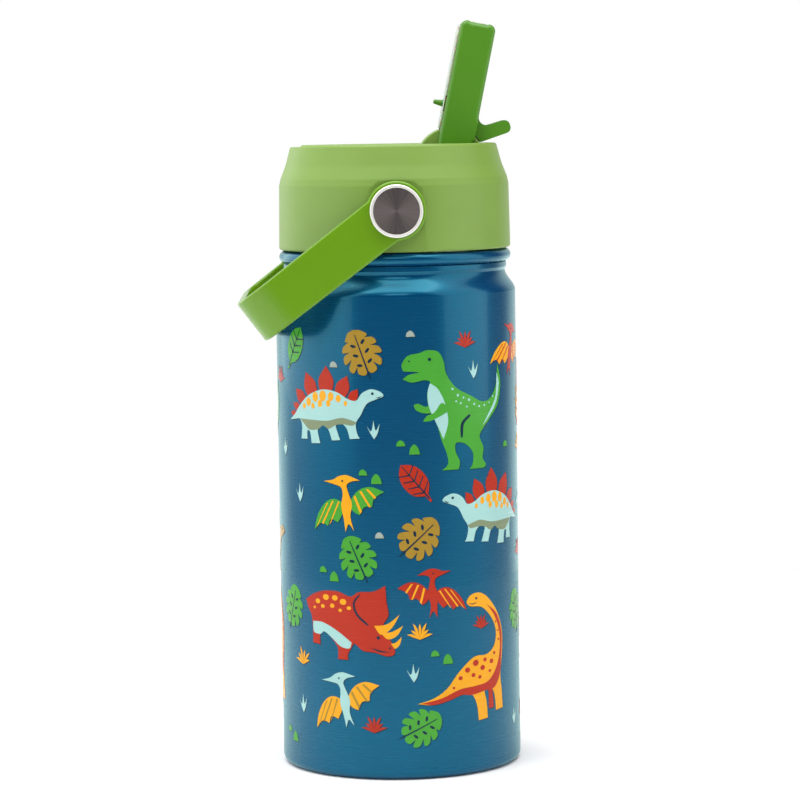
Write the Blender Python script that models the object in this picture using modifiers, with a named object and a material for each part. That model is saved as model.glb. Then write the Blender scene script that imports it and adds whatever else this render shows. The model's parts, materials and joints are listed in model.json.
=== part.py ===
"""Kids' insulated drinking bottle with a screw-on straw lid.

A double-walled steel bottle, a moulded lid with a four-start thread, a flip-up spout that turns on a dome
in the lid, and a strap handle on two side pivots. The origin is on the bottle's axis, at its base. The
handle hangs to -X, the spout stands at +X, and one handle pivot faces -Y. It is modelled at rest: lid
screwed down, spout open, handle hanging.
"""

import math

import bmesh
import bpy
from mathutils import Matrix, Vector

MM = 0.001
SEGMENTS = 40  # around a large turned piece
FEW_SEGMENTS = 20  # around a small one
GAP = 0.3 * MM  # between neighbouring pieces
FAR = 60 * MM  # a cutter's reach past anything it cuts

# Bottle body
BODY_RADIUS = 36.5 * MM
SHELL_WALL = 0.6 * MM
BASE_EDGE_RADIUS = 2.5 * MM
SHOULDER_BOTTOM = 143.6 * MM
SHOULDER_TOP = 149.8 * MM
COVE_RADIUS = 33.3 * MM
LAND_RADIUS = 33.75 * MM
LAND_TOP = 152.2 * MM
BEAD_RADIUS = 35.1 * MM
BEAD_HEIGHT = 154.4 * MM
BEAD_ROUND = 1.9 * MM
NECK_RADIUS = 30.0 * MM
NECK_TOP = 169.4 * MM
MOUTH_RIM = 170.5 * MM
BOTTOM_RING_OUTER = 32.9 * MM
BOTTOM_RING_INNER = 25.6 * MM
LINER_RADIUS = 33.0 * MM
LINER_WALL = 0.5 * MM
LINER_FLOOR = 5.0 * MM
LINER_CORNER = 6.0 * MM
LINER_NECK_RADIUS = 28.4 * MM
LINER_SHOULDER_BOTTOM = 144.5 * MM
LINER_SHOULDER_TOP = 153.0 * MM

# Screw thread: four starts, round-rolled ridges, right-handed
THREAD_STARTS = 4
THREAD_LEAD = 20.0 * MM
THREAD_RIDGE = 1.0 * MM
NECK_THREAD_BOTTOM = 161.2 * MM
NECK_THREAD_SWEEP = 100.0
LID_THREAD_DROP = 2.4 * MM  # the lid's ridges lie this far under the neck's
LID_THREAD_LAG = 20.0
LID_THREAD_SWEEP = 60.0

# Lid
LID_TOP = 188.0 * MM
LID_BOTTOM = 156.9 * MM
LID_TOP_RADIUS = 31.1 * MM
LID_SHOULDER_RADIUS = 34.75 * MM
LID_SHOULDER = 176.2 * MM
LID_SKIRT_RADIUS = 35.05 * MM
LID_CAVITY_RADIUS = 32.9 * MM
LID_TOP_WALL = 1.8 * MM
LID_FLAT = 33.9 * MM  # distance of the flats behind the handle's eyes
INSERT_RADIUS = 32.5 * MM
INSERT_BORE = 31.4 * MM
INSERT_BOTTOM = 158.0 * MM
INSERT_TOP = 174.3 * MM
INSERT_PLATE = 1.5 * MM
UNDER_PLATE = INSERT_TOP - INSERT_PLATE - GAP  # top of the soft pieces that press on the insert's plate
GASKET_THICKNESS = 1.7 * MM

# Spout recess and dome
HINGE = Vector((17.2 * MM, 0.0, 182.4 * MM))
DOME_RADIUS = 10.4 * MM
DOME_HALF_WIDTH = 6.2 * MM
RECESS_LEFT = -27.6 * MM
RECESS_RIGHT = 24.8 * MM
RECESS_HALF_WIDTH = 8.9 * MM
RECESS_FLOOR = 176.2 * MM
RECESS_WALL = 1.5 * MM
THUMB_RELIEF = 0.5 * MM
THUMB_RELIEF_HALF_WIDTH = 14 * MM

# Soft grommets in the recess floor and the dome, with flanges under the insert's plate
GROMMET_FLANGE = 1.6 * MM
VENT_X = 0.2 * MM
VENT_STEM = 2.6 * MM
VENT_BORE = 1.9 * MM
VENT_TOP = 175.9 * MM
SLEEVE_STEM = 5.0 * MM
SLEEVE_TOP = 179.2 * MM

# Spout, in its own frame: origin on the hinge, +Z along the spout, +X towards the lever tab
SPOUT_TILT = math.radians(11.8)
SPOUT_LENGTH = 43.0 * MM
SPOUT_BACK = 5.6 * MM
SPOUT_FRONT = 4.7 * MM
SPOUT_HALF_WIDTH = 8.5 * MM
SPOUT_WALL = 1.6 * MM
SPOUT_TIP_ROUND = 2.0 * MM
CHEEK_INSIDE = 6.5 * MM
TAB_HALF_WIDTH = 6.0 * MM
SLEEVE_FACE = 5.6 * MM
DRINK_BORE = 2.2 * MM
DRINK_AXIS = 0.4 * MM
PLUG_HEIGHT = 17.2 * MM
PLUG_LENGTH = 3.8 * MM
BRIDGE_HALF_HEIGHT = 2.2 * MM
BRIDGE_INSIDE = -3.5 * MM
NOZZLE_RADIUS = 2.9 * MM
PIN_RADIUS = 1.2 * MM

# Straw
STRAW_RADIUS = 3.5 * MM
STRAW_BORE = 2.6 * MM
STRAW_BOTTOM = 12.0 * MM
STRAW_TOP = 178.5 * MM

# Handle, in its own frame: origin on the pivot axis, -X along the strap
PIVOT_HEIGHT = 168.8 * MM
HANDLE_HANG = math.radians(37.1)
HANDLE_LENGTH = 54.2 * MM
STRAP_INSIDE = 35.1 * MM
STRAP_THICKNESS = 2.4 * MM
STRAP_CORNER = 9.5 * MM
STRAP_HALF_WIDTH_END = 7.0 * MM
STRAP_HALF_WIDTH_EYE = 7.35 * MM
EYE_RADIUS = 8.8 * MM
BOSS_RADIUS = 4.0 * MM
CAP_RADIUS = 7.8 * MM
CAP_DISC_RADIUS = 6.85 * MM
CAP_HEIGHT = 1.8 * MM
SCREW_RADIUS = 1.2 * MM
SCREW_END = 33.9 * MM


# ---------------------------------------------------------------- scene helpers


def clear_scene():
    for item in list(bpy.data.objects):
        bpy.data.objects.remove(item, do_unlink=True)


def new_collection(name):
    collection = bpy.data.collections.new(name)
    bpy.context.scene.collection.children.link(collection)
    return collection


def make_material(name, color, roughness, metallic=0.0, alpha=1.0):
    material = bpy.data.materials.new(name)
    material.use_nodes = True
    shader = material.node_tree.nodes["Principled BSDF"]
    shader.inputs["Base Color"].default_value = (*color, 1.0)
    shader.inputs["Roughness"].default_value = roughness
    shader.inputs["Metallic"].default_value = metallic
    shader.inputs["Alpha"].default_value = alpha
    return material


def add_object(name, mesh, collection):
    item = bpy.data.objects.new(name, mesh)
    collection.objects.link(item)
    return item


def attach(item, parent):
    """Parents a part, and every shape that its Booleans use, to a joint's empty."""
    item.parent = parent
    for modifier in item.modifiers:
        if modifier.type == "BOOLEAN":
            attach(modifier.object, parent)


def finish(item, material, parent=None, sharp_angle=35.0):
    """Gives a part its material, smooth shading and joint empty."""
    if item.data.materials:
        item.data.materials[0] = material
    else:
        item.data.materials.append(material)
    item.data.shade_smooth()
    item.data.set_sharp_from_angle(angle=math.radians(sharp_angle))
    if parent:
        attach(item, parent)
    return item


def make_cutter(item):
    """Moves a helper to the cutters' collection, so that it isn't a part."""
    for collection in list(item.users_collection):
        collection.objects.unlink(item)
    cutters.objects.link(item)
    item.hide_render = True
    item.display_type = "WIRE"
    return item


def boolean(item, other, operation):
    modifier = item.modifiers.new(f"{operation.title()} {other.name}", "BOOLEAN")
    modifier.operation = operation
    modifier.solver = "EXACT"
    modifier.object = make_cutter(other)
    return item


def cut(item, *others):
    for other in others:
        boolean(item, other, "DIFFERENCE")
    return item


def join(item, *others):
    for other in others:
        boolean(item, other, "UNION")
    return item


# ---------------------------------------------------------------- shape helpers


def arc(center, radius, start, end, steps):
    """Points on an arc in a profile's plane, from one angle to another in degrees."""
    angles = [math.radians(start + (end - start) * i / steps) for i in range(steps + 1)]
    return [(center[0] + radius * math.cos(a), center[1] + radius * math.sin(a)) for a in angles]


def blend(radius_top, radius_bottom, top, bottom, steps):
    """Points down an S-shaped shoulder between two radii."""
    points = []
    for i in range(steps + 1):
        t = i / steps
        ease = t * t * (3 - 2 * t)
        points.append((radius_top + (radius_bottom - radius_top) * ease, top + (bottom - top) * t))
    return points


def turned(name, profile, closed=False, segments=SEGMENTS):
    """A profile of (radius, height) points turned about the object's Z axis."""
    mesh = bpy.data.meshes.new(name)
    edges = [(i, i + 1) for i in range(len(profile) - 1)]
    if closed:
        edges.append((len(profile) - 1, 0))
    mesh.from_pydata([(r, 0.0, z) for r, z in profile], edges, [])
    item = add_object(name, mesh, parts)
    screw = item.modifiers.new("Turn", "SCREW")
    screw.steps = segments
    screw.render_steps = segments
    screw.use_merge_vertices = True
    screw.merge_threshold = 0.00001
    screw.use_smooth_shade = True
    return item


def tube(name, outer, inner, bottom, top, segments=SEGMENTS):
    """A plain ring or pipe about the object's Z axis."""
    return turned(name, [(outer, top), (outer, bottom), (inner, bottom), (inner, top)], True, segments)


def rod(name, radius, start, end, segments=FEW_SEGMENTS):
    """A cylinder from one point to another."""
    start, end = Vector(start), Vector(end)
    along = end - start
    turn = along.to_track_quat("Z", "Y").to_matrix().to_4x4()
    bm = bmesh.new()
    bmesh.ops.create_cone(
        bm, cap_ends=True, segments=segments, radius1=radius, radius2=radius, depth=along.length,
        matrix=Matrix.Translation((start + end) / 2) @ turn,
    )
    mesh = bpy.data.meshes.new(name)
    bm.to_mesh(mesh)
    bm.free()
    return add_object(name, mesh, parts)


def block(name, low, high):
    """A box between two corners."""
    low, high = Vector(low), Vector(high)
    size = high - low
    bm = bmesh.new()
    bmesh.ops.create_cube(
        bm, size=1.0, matrix=Matrix.Translation((low + high) / 2) @ Matrix.Diagonal((*size, 1.0))
    )
    mesh = bpy.data.meshes.new(name)
    bm.to_mesh(mesh)
    bm.free()
    return add_object(name, mesh, parts)


def mesh_of_curve(item):
    """Replaces a curve object with its mesh, so that it can be cut and joined."""
    graph = bpy.context.evaluated_depsgraph_get()
    graph.update()
    mesh = bpy.data.meshes.new_from_object(item.evaluated_get(graph))
    bm = bmesh.new()
    bm.from_mesh(mesh)
    bmesh.ops.remove_doubles(bm, verts=bm.verts, dist=0.000001)
    bmesh.ops.recalc_face_normals(bm, faces=bm.faces)
    bm.to_mesh(mesh)
    bm.free()
    name, matrix = item.name, item.matrix_world.copy()
    bpy.data.objects.remove(item, do_unlink=True)
    solid = add_object(name, mesh, parts)
    solid.data.transform(matrix)
    return solid


def plate(name, outline, half_width):
    """A flat outline of (x, z) points, given its width along Y."""
    curve = bpy.data.curves.new(name, "CURVE")
    curve.dimensions = "2D"
    curve.fill_mode = "BOTH"
    curve.extrude = half_width
    spline = curve.splines.new("POLY")
    spline.points.add(len(outline) - 1)
    for point, (x, z) in zip(spline.points, outline):
        point.co = (x, z, 0.0, 1.0)
    spline.use_cyclic_u = True
    item = add_object(name, curve, parts)
    item.rotation_euler.x = math.pi / 2
    bpy.context.view_layer.update()
    return mesh_of_curve(item)


def thread_ridge(name, radius, bottom, start_degrees, sweep_degrees):
    """One start of the thread: a round ridge along a helix, fading out at both ends."""
    steps = max(6, round(sweep_degrees / 7.5))
    curve = bpy.data.curves.new(name, "CURVE")
    curve.dimensions = "3D"
    curve.bevel_depth = THREAD_RIDGE
    curve.bevel_resolution = 1
    curve.use_fill_caps = True
    spline = curve.splines.new("POLY")
    spline.points.add(steps)
    for i, point in enumerate(spline.points):
        t = i / steps
        angle = math.radians(start_degrees + sweep_degrees * t)
        height = bottom + THREAD_LEAD * sweep_degrees * t / 360
        point.co = (radius * math.cos(angle), radius * math.sin(angle), height, 1.0)
        point.radius = min(1.0, 0.4 + 6 * min(t, 1 - t))
    item = add_object(name, curve, parts)
    bpy.context.view_layer.update()
    return mesh_of_curve(item)


def facing(item, side):
    """Turns a piece made about Z so that its height points out along -Y (front) or +Y (back)."""
    item.rotation_euler.x = math.pi / 2 if side == "front" else -math.pi / 2
    item.location.z = PIVOT_HEIGHT
    return item


# ---------------------------------------------------------------- bottle


def make_outer_shell():
    shoulder = blend(COVE_RADIUS, BODY_RADIUS, SHOULDER_TOP, SHOULDER_BOTTOM, 6)
    bead_center = (BEAD_RADIUS - BEAD_ROUND, BEAD_HEIGHT)
    outside = [(NECK_RADIUS, NECK_TOP), (NECK_RADIUS, BEAD_HEIGHT + BEAD_ROUND)]
    outside += arc(bead_center, BEAD_ROUND, 90, -70, 6)
    outside += [(LAND_RADIUS, LAND_TOP), (LAND_RADIUS - 0.1 * MM, LAND_TOP - 1.4 * MM)]
    outside += shoulder
    edge_center = (BODY_RADIUS - BASE_EDGE_RADIUS, BASE_EDGE_RADIUS)
    outside += arc(edge_center, BASE_EDGE_RADIUS, 0, -90, 4)
    seam = BOTTOM_RING_OUTER + GAP
    inside = [(seam, 0.0), (seam, SHELL_WALL)]
    inside += arc(edge_center, BASE_EDGE_RADIUS - SHELL_WALL, -90, 0, 3)
    inside += [(r - SHELL_WALL, z - 0.3 * MM) for r, z in reversed(shoulder)]
    neck_inside = NECK_RADIUS - SHELL_WALL
    inside += [(neck_inside, BEAD_HEIGHT), (neck_inside, NECK_TOP)]
    shell = turned("outer_shell", outside + inside, closed=True)
    for start in range(THREAD_STARTS):
        ridge = thread_ridge(
            f"neck_ridge_{start}", NECK_RADIUS, NECK_THREAD_BOTTOM,
            360 * start / THREAD_STARTS, NECK_THREAD_SWEEP,
        )
        join(shell, ridge)
    return finish(shell, paint)


def make_outer_bottom():
    plate_under, plate_over = 1.3 * MM, 1.3 * MM + SHELL_WALL
    dimple_radius, dimple_rise, port_radius = 4.5 * MM, 1.3 * MM, 1.0 * MM
    profile = [
        (BOTTOM_RING_OUTER, SHELL_WALL),
        (BOTTOM_RING_OUTER, 0.0),
        (BOTTOM_RING_INNER, 0.0),
        (BOTTOM_RING_INNER, plate_under),
        (dimple_radius, plate_under),
        (dimple_radius, plate_under + dimple_rise),
        (port_radius, plate_under + dimple_rise),
        (port_radius, plate_over + dimple_rise),
        (dimple_radius + SHELL_WALL, plate_over + dimple_rise),
        (dimple_radius + SHELL_WALL, plate_over),
        (BOTTOM_RING_INNER + SHELL_WALL, plate_over),
        (BOTTOM_RING_INNER + SHELL_WALL, SHELL_WALL),
    ]
    return finish(turned("outer_bottom", profile, closed=True), steel)


def make_base_cover():
    rim, top = BOTTOM_RING_INNER - GAP, 0.9 * MM
    return finish(turned("base_cover", [(0.0, top), (rim, top), (rim, 0.0), (0.0, 0.0)]), steel)


def make_vacuum_seal():
    low, high, radius = 1.4 * MM, 2.3 * MM, 4.0 * MM
    profile = [(0.0, high), (radius, high), (radius, low), (0.0, low)]
    return finish(turned("vacuum_seal", profile, segments=FEW_SEGMENTS), glass_solder)


def make_getter():
    low, high, radius = 2.4 * MM, 4.5 * MM, 4.0 * MM
    getter = turned("getter", [(0.0, high), (radius, high), (radius, low), (0.0, low)], segments=FEW_SEGMENTS)
    getter.location.x = -14.0 * MM
    return finish(getter, getter_metal)


def make_inner_liner():
    lip_bottom = NECK_TOP + GAP
    outside = [(NECK_RADIUS, MOUTH_RIM), (NECK_RADIUS, lip_bottom), (LINER_NECK_RADIUS + 0.4 * MM, lip_bottom)]
    outside.append((LINER_NECK_RADIUS, lip_bottom - 0.5 * MM))
    shoulder = blend(LINER_NECK_RADIUS, LINER_RADIUS, LINER_SHOULDER_TOP, LINER_SHOULDER_BOTTOM, 5)
    outside += shoulder
    corner_center = (LINER_RADIUS - LINER_CORNER, LINER_FLOOR + LINER_CORNER)
    outside += arc(corner_center, LINER_CORNER, 0, -90, 4)
    outside.append((0.0, LINER_FLOOR))
    inside = [(0.0, LINER_FLOOR + LINER_WALL)]
    inside += arc(corner_center, LINER_CORNER - LINER_WALL, -90, 0, 4)
    inside += [(r - LINER_WALL, z) for r, z in reversed(shoulder)]
    neck_bore = LINER_NECK_RADIUS - LINER_WALL
    inside += [(neck_bore, MOUTH_RIM - 0.6 * MM), (neck_bore + 0.6 * MM, MOUTH_RIM)]
    return finish(turned("inner_liner", outside + inside + [outside[0]]), steel)


# ---------------------------------------------------------------- lid


def lid_outline():
    """The lid's outside from the axis at its top down to the axis at its bottom."""
    top_round, bottom_round = 0.7 * MM, 1.2 * MM
    points = [(0.0, LID_TOP)]
    points += arc((LID_TOP_RADIUS - top_round, LID_TOP - top_round), top_round, 90, 15, 3)
    points += [(32.75 * MM, 181.9 * MM), (34.2 * MM, 178.2 * MM), (34.6 * MM, 177.0 * MM)]
    points.append((LID_SHOULDER_RADIUS, LID_SHOULDER))
    points += arc((LID_SKIRT_RADIUS - bottom_round, LID_BOTTOM + bottom_round), bottom_round, 0, -90, 4)
    points.append((0.0, LID_BOTTOM))
    return points


def make_lid_cavity():
    """The hollow inside the lid, less the walls of the spout recess."""
    ceiling = LID_TOP - LID_TOP_WALL
    cavity = turned(
        "lid_cavity",
        [
            (0.0, ceiling),
            (29.2 * MM, ceiling),
            (32.4 * MM, 177.0 * MM),
            (LID_CAVITY_RADIUS, 175.5 * MM),
            (LID_CAVITY_RADIUS, LID_BOTTOM - FAR),
            (0.0, LID_BOTTOM - FAR),
        ],
    )
    wall = RECESS_WALL
    core = block(
        "recess_core",
        (RECESS_LEFT - wall, -RECESS_HALF_WIDTH - wall, RECESS_FLOOR - wall),
        (HINGE.x + DOME_RADIUS + wall, RECESS_HALF_WIDTH + wall, LID_TOP + FAR),
    )
    return cut(cavity, core)


def make_dome():
    """The rounded block that the spout turns on, round down to the recess floor."""
    outline = arc((HINGE.x, HINGE.z), DOME_RADIUS, -36, 216, 28)
    (right, _), (left, _) = outline[0], outline[-1]
    root = RECESS_FLOOR - 1 * MM
    return plate("dome", outline + [(left, root), (right, root)], DOME_HALF_WIDTH)


def make_lid_cover():
    cover = turned("lid_cover", lid_outline())
    for side in (-1, 1):
        low, high = sorted((side * LID_FLAT, side * FAR))
        cut(cover, block(f"lid_flat_{side}", (-FAR, low, 0.0), (FAR, high, 2 * LID_TOP)))
    relief = block(
        "thumb_relief",
        (-FAR, -THUMB_RELIEF_HALF_WIDTH, LID_TOP - THUMB_RELIEF),
        (RECESS_LEFT - 0.2 * MM, THUMB_RELIEF_HALF_WIDTH, LID_TOP + FAR),
    )
    recess = block(
        "spout_recess",
        (RECESS_LEFT, -RECESS_HALF_WIDTH, RECESS_FLOOR),
        (RECESS_RIGHT, RECESS_HALF_WIDTH, LID_TOP + FAR),
    )
    cut(cover, make_lid_cavity(), relief, recess)
    join(cover, make_dome())
    root, face = LID_CAVITY_RADIUS + 0.5 * MM, STRAP_INSIDE + STRAP_THICKNESS + 0.1 * MM
    pin_inner, pin_outer = 4.0 * MM, 12.0 * MM
    for side in (-1, 1):
        boss = rod(
            f"pivot_boss_{side}", BOSS_RADIUS,
            (0.0, side * root, PIVOT_HEIGHT), (0.0, side * face, PIVOT_HEIGHT),
        )
        pilot = rod(
            f"screw_pilot_{side}", SCREW_RADIUS + GAP,
            (0.0, side * (SCREW_END - GAP), PIVOT_HEIGHT), (0.0, side * FAR, PIVOT_HEIGHT),
        )
        pin_hole = rod(
            f"pin_hole_{side}", PIN_RADIUS + GAP,
            (HINGE.x, side * pin_inner, HINGE.z), (HINGE.x, side * pin_outer, HINGE.z),
        )
        join(cover, boss)
        cut(cover, pilot, pin_hole)
    socket_top = SLEEVE_TOP + GAP
    socket = rod(
        "straw_socket", SLEEVE_STEM + GAP, (HINGE.x, 0.0, RECESS_FLOOR - FAR), (HINGE.x, 0.0, socket_top)
    )
    toward = Vector((math.sin(SPOUT_TILT), 0.0, math.cos(SPOUT_TILT)))
    port = rod("dome_port", DRINK_BORE, HINGE - toward * DOME_RADIUS / 2, HINGE + toward * 2 * DOME_RADIUS)
    return finish(cut(cover, socket, port, vent_hole("vent_hole")), lid_green, lid_axis)


def make_lid_inner():
    profile = [
        (0.0, INSERT_TOP),
        (INSERT_RADIUS, INSERT_TOP),
        (INSERT_RADIUS, INSERT_BOTTOM),
        (INSERT_BORE, INSERT_BOTTOM),
        (INSERT_BORE, INSERT_TOP - INSERT_PLATE),
        (0.0, INSERT_TOP - INSERT_PLATE),
    ]
    insert = turned("lid_inner", profile)
    ridge_bottom = NECK_THREAD_BOTTOM - LID_THREAD_DROP + THREAD_LEAD * LID_THREAD_LAG / 360
    for start in range(THREAD_STARTS):
        ridge = thread_ridge(
            f"lid_ridge_{start}", INSERT_BORE, ridge_bottom,
            360 * start / THREAD_STARTS + LID_THREAD_LAG, LID_THREAD_SWEEP,
        )
        join(insert, ridge)
    straw_hole = rod(
        "insert_straw_hole", SLEEVE_STEM + GAP,
        (HINGE.x, 0.0, INSERT_BOTTOM), (HINGE.x, 0.0, INSERT_TOP + FAR),
    )
    return finish(cut(insert, vent_hole("insert_vent"), straw_hole), insert_white, lid_axis)


def make_lid_gasket():
    outer, inner = INSERT_BORE - 0.4 * MM, LINER_NECK_RADIUS - 0.8 * MM
    gasket = tube("lid_gasket", outer, inner, UNDER_PLATE - GASKET_THICKNESS, UNDER_PLATE)
    return finish(gasket, silicone, lid_axis)


def vent_hole(name):
    return rod(name, VENT_STEM + GAP, (VENT_X, 0.0, INSERT_BOTTOM), (VENT_X, 0.0, RECESS_FLOOR + FAR))


def grommet(name, x, stem, flange, bore, top):
    """A soft tube that passes up through the insert's plate from a flange under it."""
    flange_bottom = UNDER_PLATE - GROMMET_FLANGE
    profile = [
        (stem, top), (stem, UNDER_PLATE), (flange, UNDER_PLATE), (flange, flange_bottom),
        (bore, flange_bottom), (bore, top),
    ]
    soft = turned(name, profile, closed=True, segments=FEW_SEGMENTS)
    soft.location.x = x
    return finish(soft, silicone, lid_axis)


def make_vent_valve():
    """The grommet in the recess floor that the spout's plug closes."""
    return grommet("vent_valve", VENT_X, VENT_STEM, VENT_STEM + 1.3 * MM, VENT_BORE, VENT_TOP)


def make_straw_sleeve():
    return grommet("straw_sleeve", HINGE.x, SLEEVE_STEM, SLEEVE_STEM + 1.8 * MM, STRAW_RADIUS + GAP, SLEEVE_TOP)


def make_straw():
    straw = tube("straw", STRAW_RADIUS, STRAW_BORE, STRAW_BOTTOM, STRAW_TOP, FEW_SEGMENTS)
    straw.location.x = HINGE.x
    half, height, below = 2.5 * MM, 5.0 * MM, 1.0 * MM
    notch = plate("straw_notch", [(-half, -below), (half, -below), (0.0, height)], 2 * STRAW_RADIUS)
    notch.data.transform(Matrix.Translation((HINGE.x, 0.0, STRAW_BOTTOM)))
    return finish(cut(straw, notch), straw_clear, lid_axis)


def make_spout_pin(side):
    sign = -1 if side == "front" else 1
    inner, outer = sign * 4.3 * MM, sign * 10.2 * MM
    pin = rod(f"spout_pin_{side}", PIN_RADIUS, (HINGE.x, inner, HINGE.z), (HINGE.x, outer, HINGE.z))
    return finish(pin, steel, lid_axis)


# ---------------------------------------------------------------- handle pivots


def make_pivot_washer(side):
    radius, low, high = 7.5 * MM, LID_FLAT + GAP, STRAP_INSIDE - GAP
    washer = tube(f"pivot_washer_{side}", radius, BOSS_RADIUS + GAP, low, high, FEW_SEGMENTS)
    return finish(facing(washer, side), insert_white, lid_axis)


def make_pivot_screw(side):
    head, bevel = 3.6 * MM, 0.5 * MM
    strap_face = STRAP_INSIDE + STRAP_THICKNESS
    shoulder, top = strap_face + 0.4 * MM, strap_face + 1.1 * MM
    profile = [
        (0.0, top), (head - bevel, top), (head, top - bevel), (head, shoulder),
        (SCREW_RADIUS, shoulder), (SCREW_RADIUS, SCREW_END), (0.0, SCREW_END),
    ]
    screw = turned(f"pivot_screw_{side}", profile, segments=FEW_SEGMENTS)
    return finish(facing(screw, side), steel, lid_axis)


def make_pivot_cap(side):
    """A pressed steel cup over the screw: a bevelled rim round a slightly sunk disc."""
    low = STRAP_INSIDE + STRAP_THICKNESS + GAP
    top = low + CAP_HEIGHT
    wall, bevel, sunk = 0.4 * MM, 0.35 * MM, 0.15 * MM
    profile = [
        (0.0, top - sunk),
        (CAP_DISC_RADIUS, top - sunk),
        (CAP_DISC_RADIUS + sunk, top),
        (CAP_RADIUS - bevel, top),
        (CAP_RADIUS, top - bevel),
        (CAP_RADIUS, low),
        (CAP_RADIUS - wall, low),
        (CAP_RADIUS - wall, top - sunk - wall),
        (0.0, top - sunk - wall),
    ]
    cap = turned(f"pivot_cap_{side}", profile, segments=SEGMENTS)
    return finish(facing(cap, side), dark_steel, lid_axis)


# ---------------------------------------------------------------- handle


def strap_path(offset):
    """Half of the loop seen from above, from the pivot round to the middle of the far bar."""
    side = STRAP_INSIDE + offset
    far = HANDLE_LENGTH - STRAP_THICKNESS + offset
    corner = STRAP_CORNER + offset
    points = [(EYE_RADIUS + 1 * MM, side)]
    points += arc((corner - far, side - corner), corner, 90, 180, 8)
    points.append((-far, 0.0))
    return points


def make_handle():
    """A bent flat strap, trimmed to its side outline with a round eye at each pivot."""
    outer, inner = strap_path(STRAP_THICKNESS), strap_path(0.0)
    loop = outer + [(x, -y) for x, y in reversed(outer[:-1])]
    loop += [(x, -y) for x, y in inner] + list(reversed(inner[:-1]))
    band = plate("handle", loop, EYE_RADIUS + 2 * MM)  # wider than the strap, and trimmed below
    band.data.transform(Matrix.Rotation(-math.pi / 2, 4, "X"))
    meet = 180 - math.degrees(math.asin(STRAP_HALF_WIDTH_EYE / EYE_RADIUS))
    side_view = arc((0.0, 0.0), EYE_RADIUS, -meet, meet, 24)
    far = HANDLE_LENGTH + 5 * MM
    side_view += [(-far, STRAP_HALF_WIDTH_END), (-far, -STRAP_HALF_WIDTH_END)]
    boolean(band, plate("handle_outline", side_view, FAR), "INTERSECT")
    cut(band, rod("handle_eye_hole", BOSS_RADIUS + GAP, (0.0, -FAR, 0.0), (0.0, FAR, 0.0)))
    return finish(band, handle_green, handle_pivot)


# ---------------------------------------------------------------- spout


def tab_outline():
    """The lever tab behind the spout's foot, in the spout's frame."""
    slope = math.radians(27.8)
    along = Vector((math.cos(slope), math.sin(slope)))
    across = Vector((-along.y, along.x))
    root, tip_center, half = Vector((4.0, 8.3)) * MM, Vector((13.6, 13.36)) * MM, 1.95 * MM
    start = math.degrees(slope)
    end = arc(tip_center, half, start - 90, start + 90, 8)
    return [tuple(root - across * half)] + end + [tuple(root + across * half)]


def make_spout_hood():
    """A channel-shaped hood: two cheeks reach down past the dome to the hinge pins."""
    tip = SPOUT_TIP_ROUND
    outline = arc((SPOUT_BACK - tip, SPOUT_LENGTH - tip), tip, 0, 90, 4)
    outline += arc((tip - SPOUT_FRONT, SPOUT_LENGTH - tip), tip, 90, 180, 4)
    outline.append((-SPOUT_FRONT, 0.0))
    outline += arc((0.0, 0.0), SPOUT_FRONT, 180, 270, 5)[1:]
    outline += arc((0.0, 0.0), SPOUT_FRONT, 270, 330, 4)[1:]
    outline.append((SPOUT_BACK, 2.0 * MM))
    hood = plate("spout_hood", outline, SPOUT_HALF_WIDTH)
    join(hood, plate("lever_tab", tab_outline(), TAB_HALF_WIDTH))
    channel = block(
        "hood_channel",
        (-FAR, -CHEEK_INSIDE, -FAR),
        (SPOUT_BACK - SPOUT_WALL, CHEEK_INSIDE, SPOUT_LENGTH - SPOUT_WALL),
    )
    sweep = rod(
        "dome_clearance", DOME_RADIUS + GAP, (0.0, -CHEEK_INSIDE, 0.0), (0.0, CHEEK_INSIDE, 0.0), SEGMENTS
    )
    mouth = rod(
        "mouth_hole", NOZZLE_RADIUS + GAP,
        (DRINK_AXIS, 0.0, SPOUT_LENGTH - 2 * SPOUT_WALL), (DRINK_AXIS, 0.0, SPOUT_LENGTH + FAR),
    )
    cut(hood, channel, sweep, mouth)
    overlap = 0.5 * MM
    bridge = block(
        "plug_bridge",
        (-SPOUT_FRONT, -CHEEK_INSIDE - overlap, PLUG_HEIGHT - BRIDGE_HALF_HEIGHT),
        (BRIDGE_INSIDE, CHEEK_INSIDE + overlap, PLUG_HEIGHT + BRIDGE_HALF_HEIGHT),
    )
    plug_tip, plug_root = SLEEVE_FACE + PLUG_LENGTH, SPOUT_FRONT - 0.6 * MM
    plug = turned(
        "vent_plug",
        [(0.0, plug_tip), (0.45 * MM, plug_tip), (0.6 * MM, plug_tip - 0.2 * MM), (1.15 * MM, plug_root),
         (0.0, plug_root)],
        segments=FEW_SEGMENTS,
    )
    plug.rotation_euler.y = -math.pi / 2
    plug.location.z = PLUG_HEIGHT
    join(hood, bridge, plug)
    cut(hood, rod("hinge_hole", PIN_RADIUS + GAP, (0.0, -FAR, 0.0), (0.0, FAR, 0.0)))
    return finish(hood, spout_green, spout_hinge)


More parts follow.
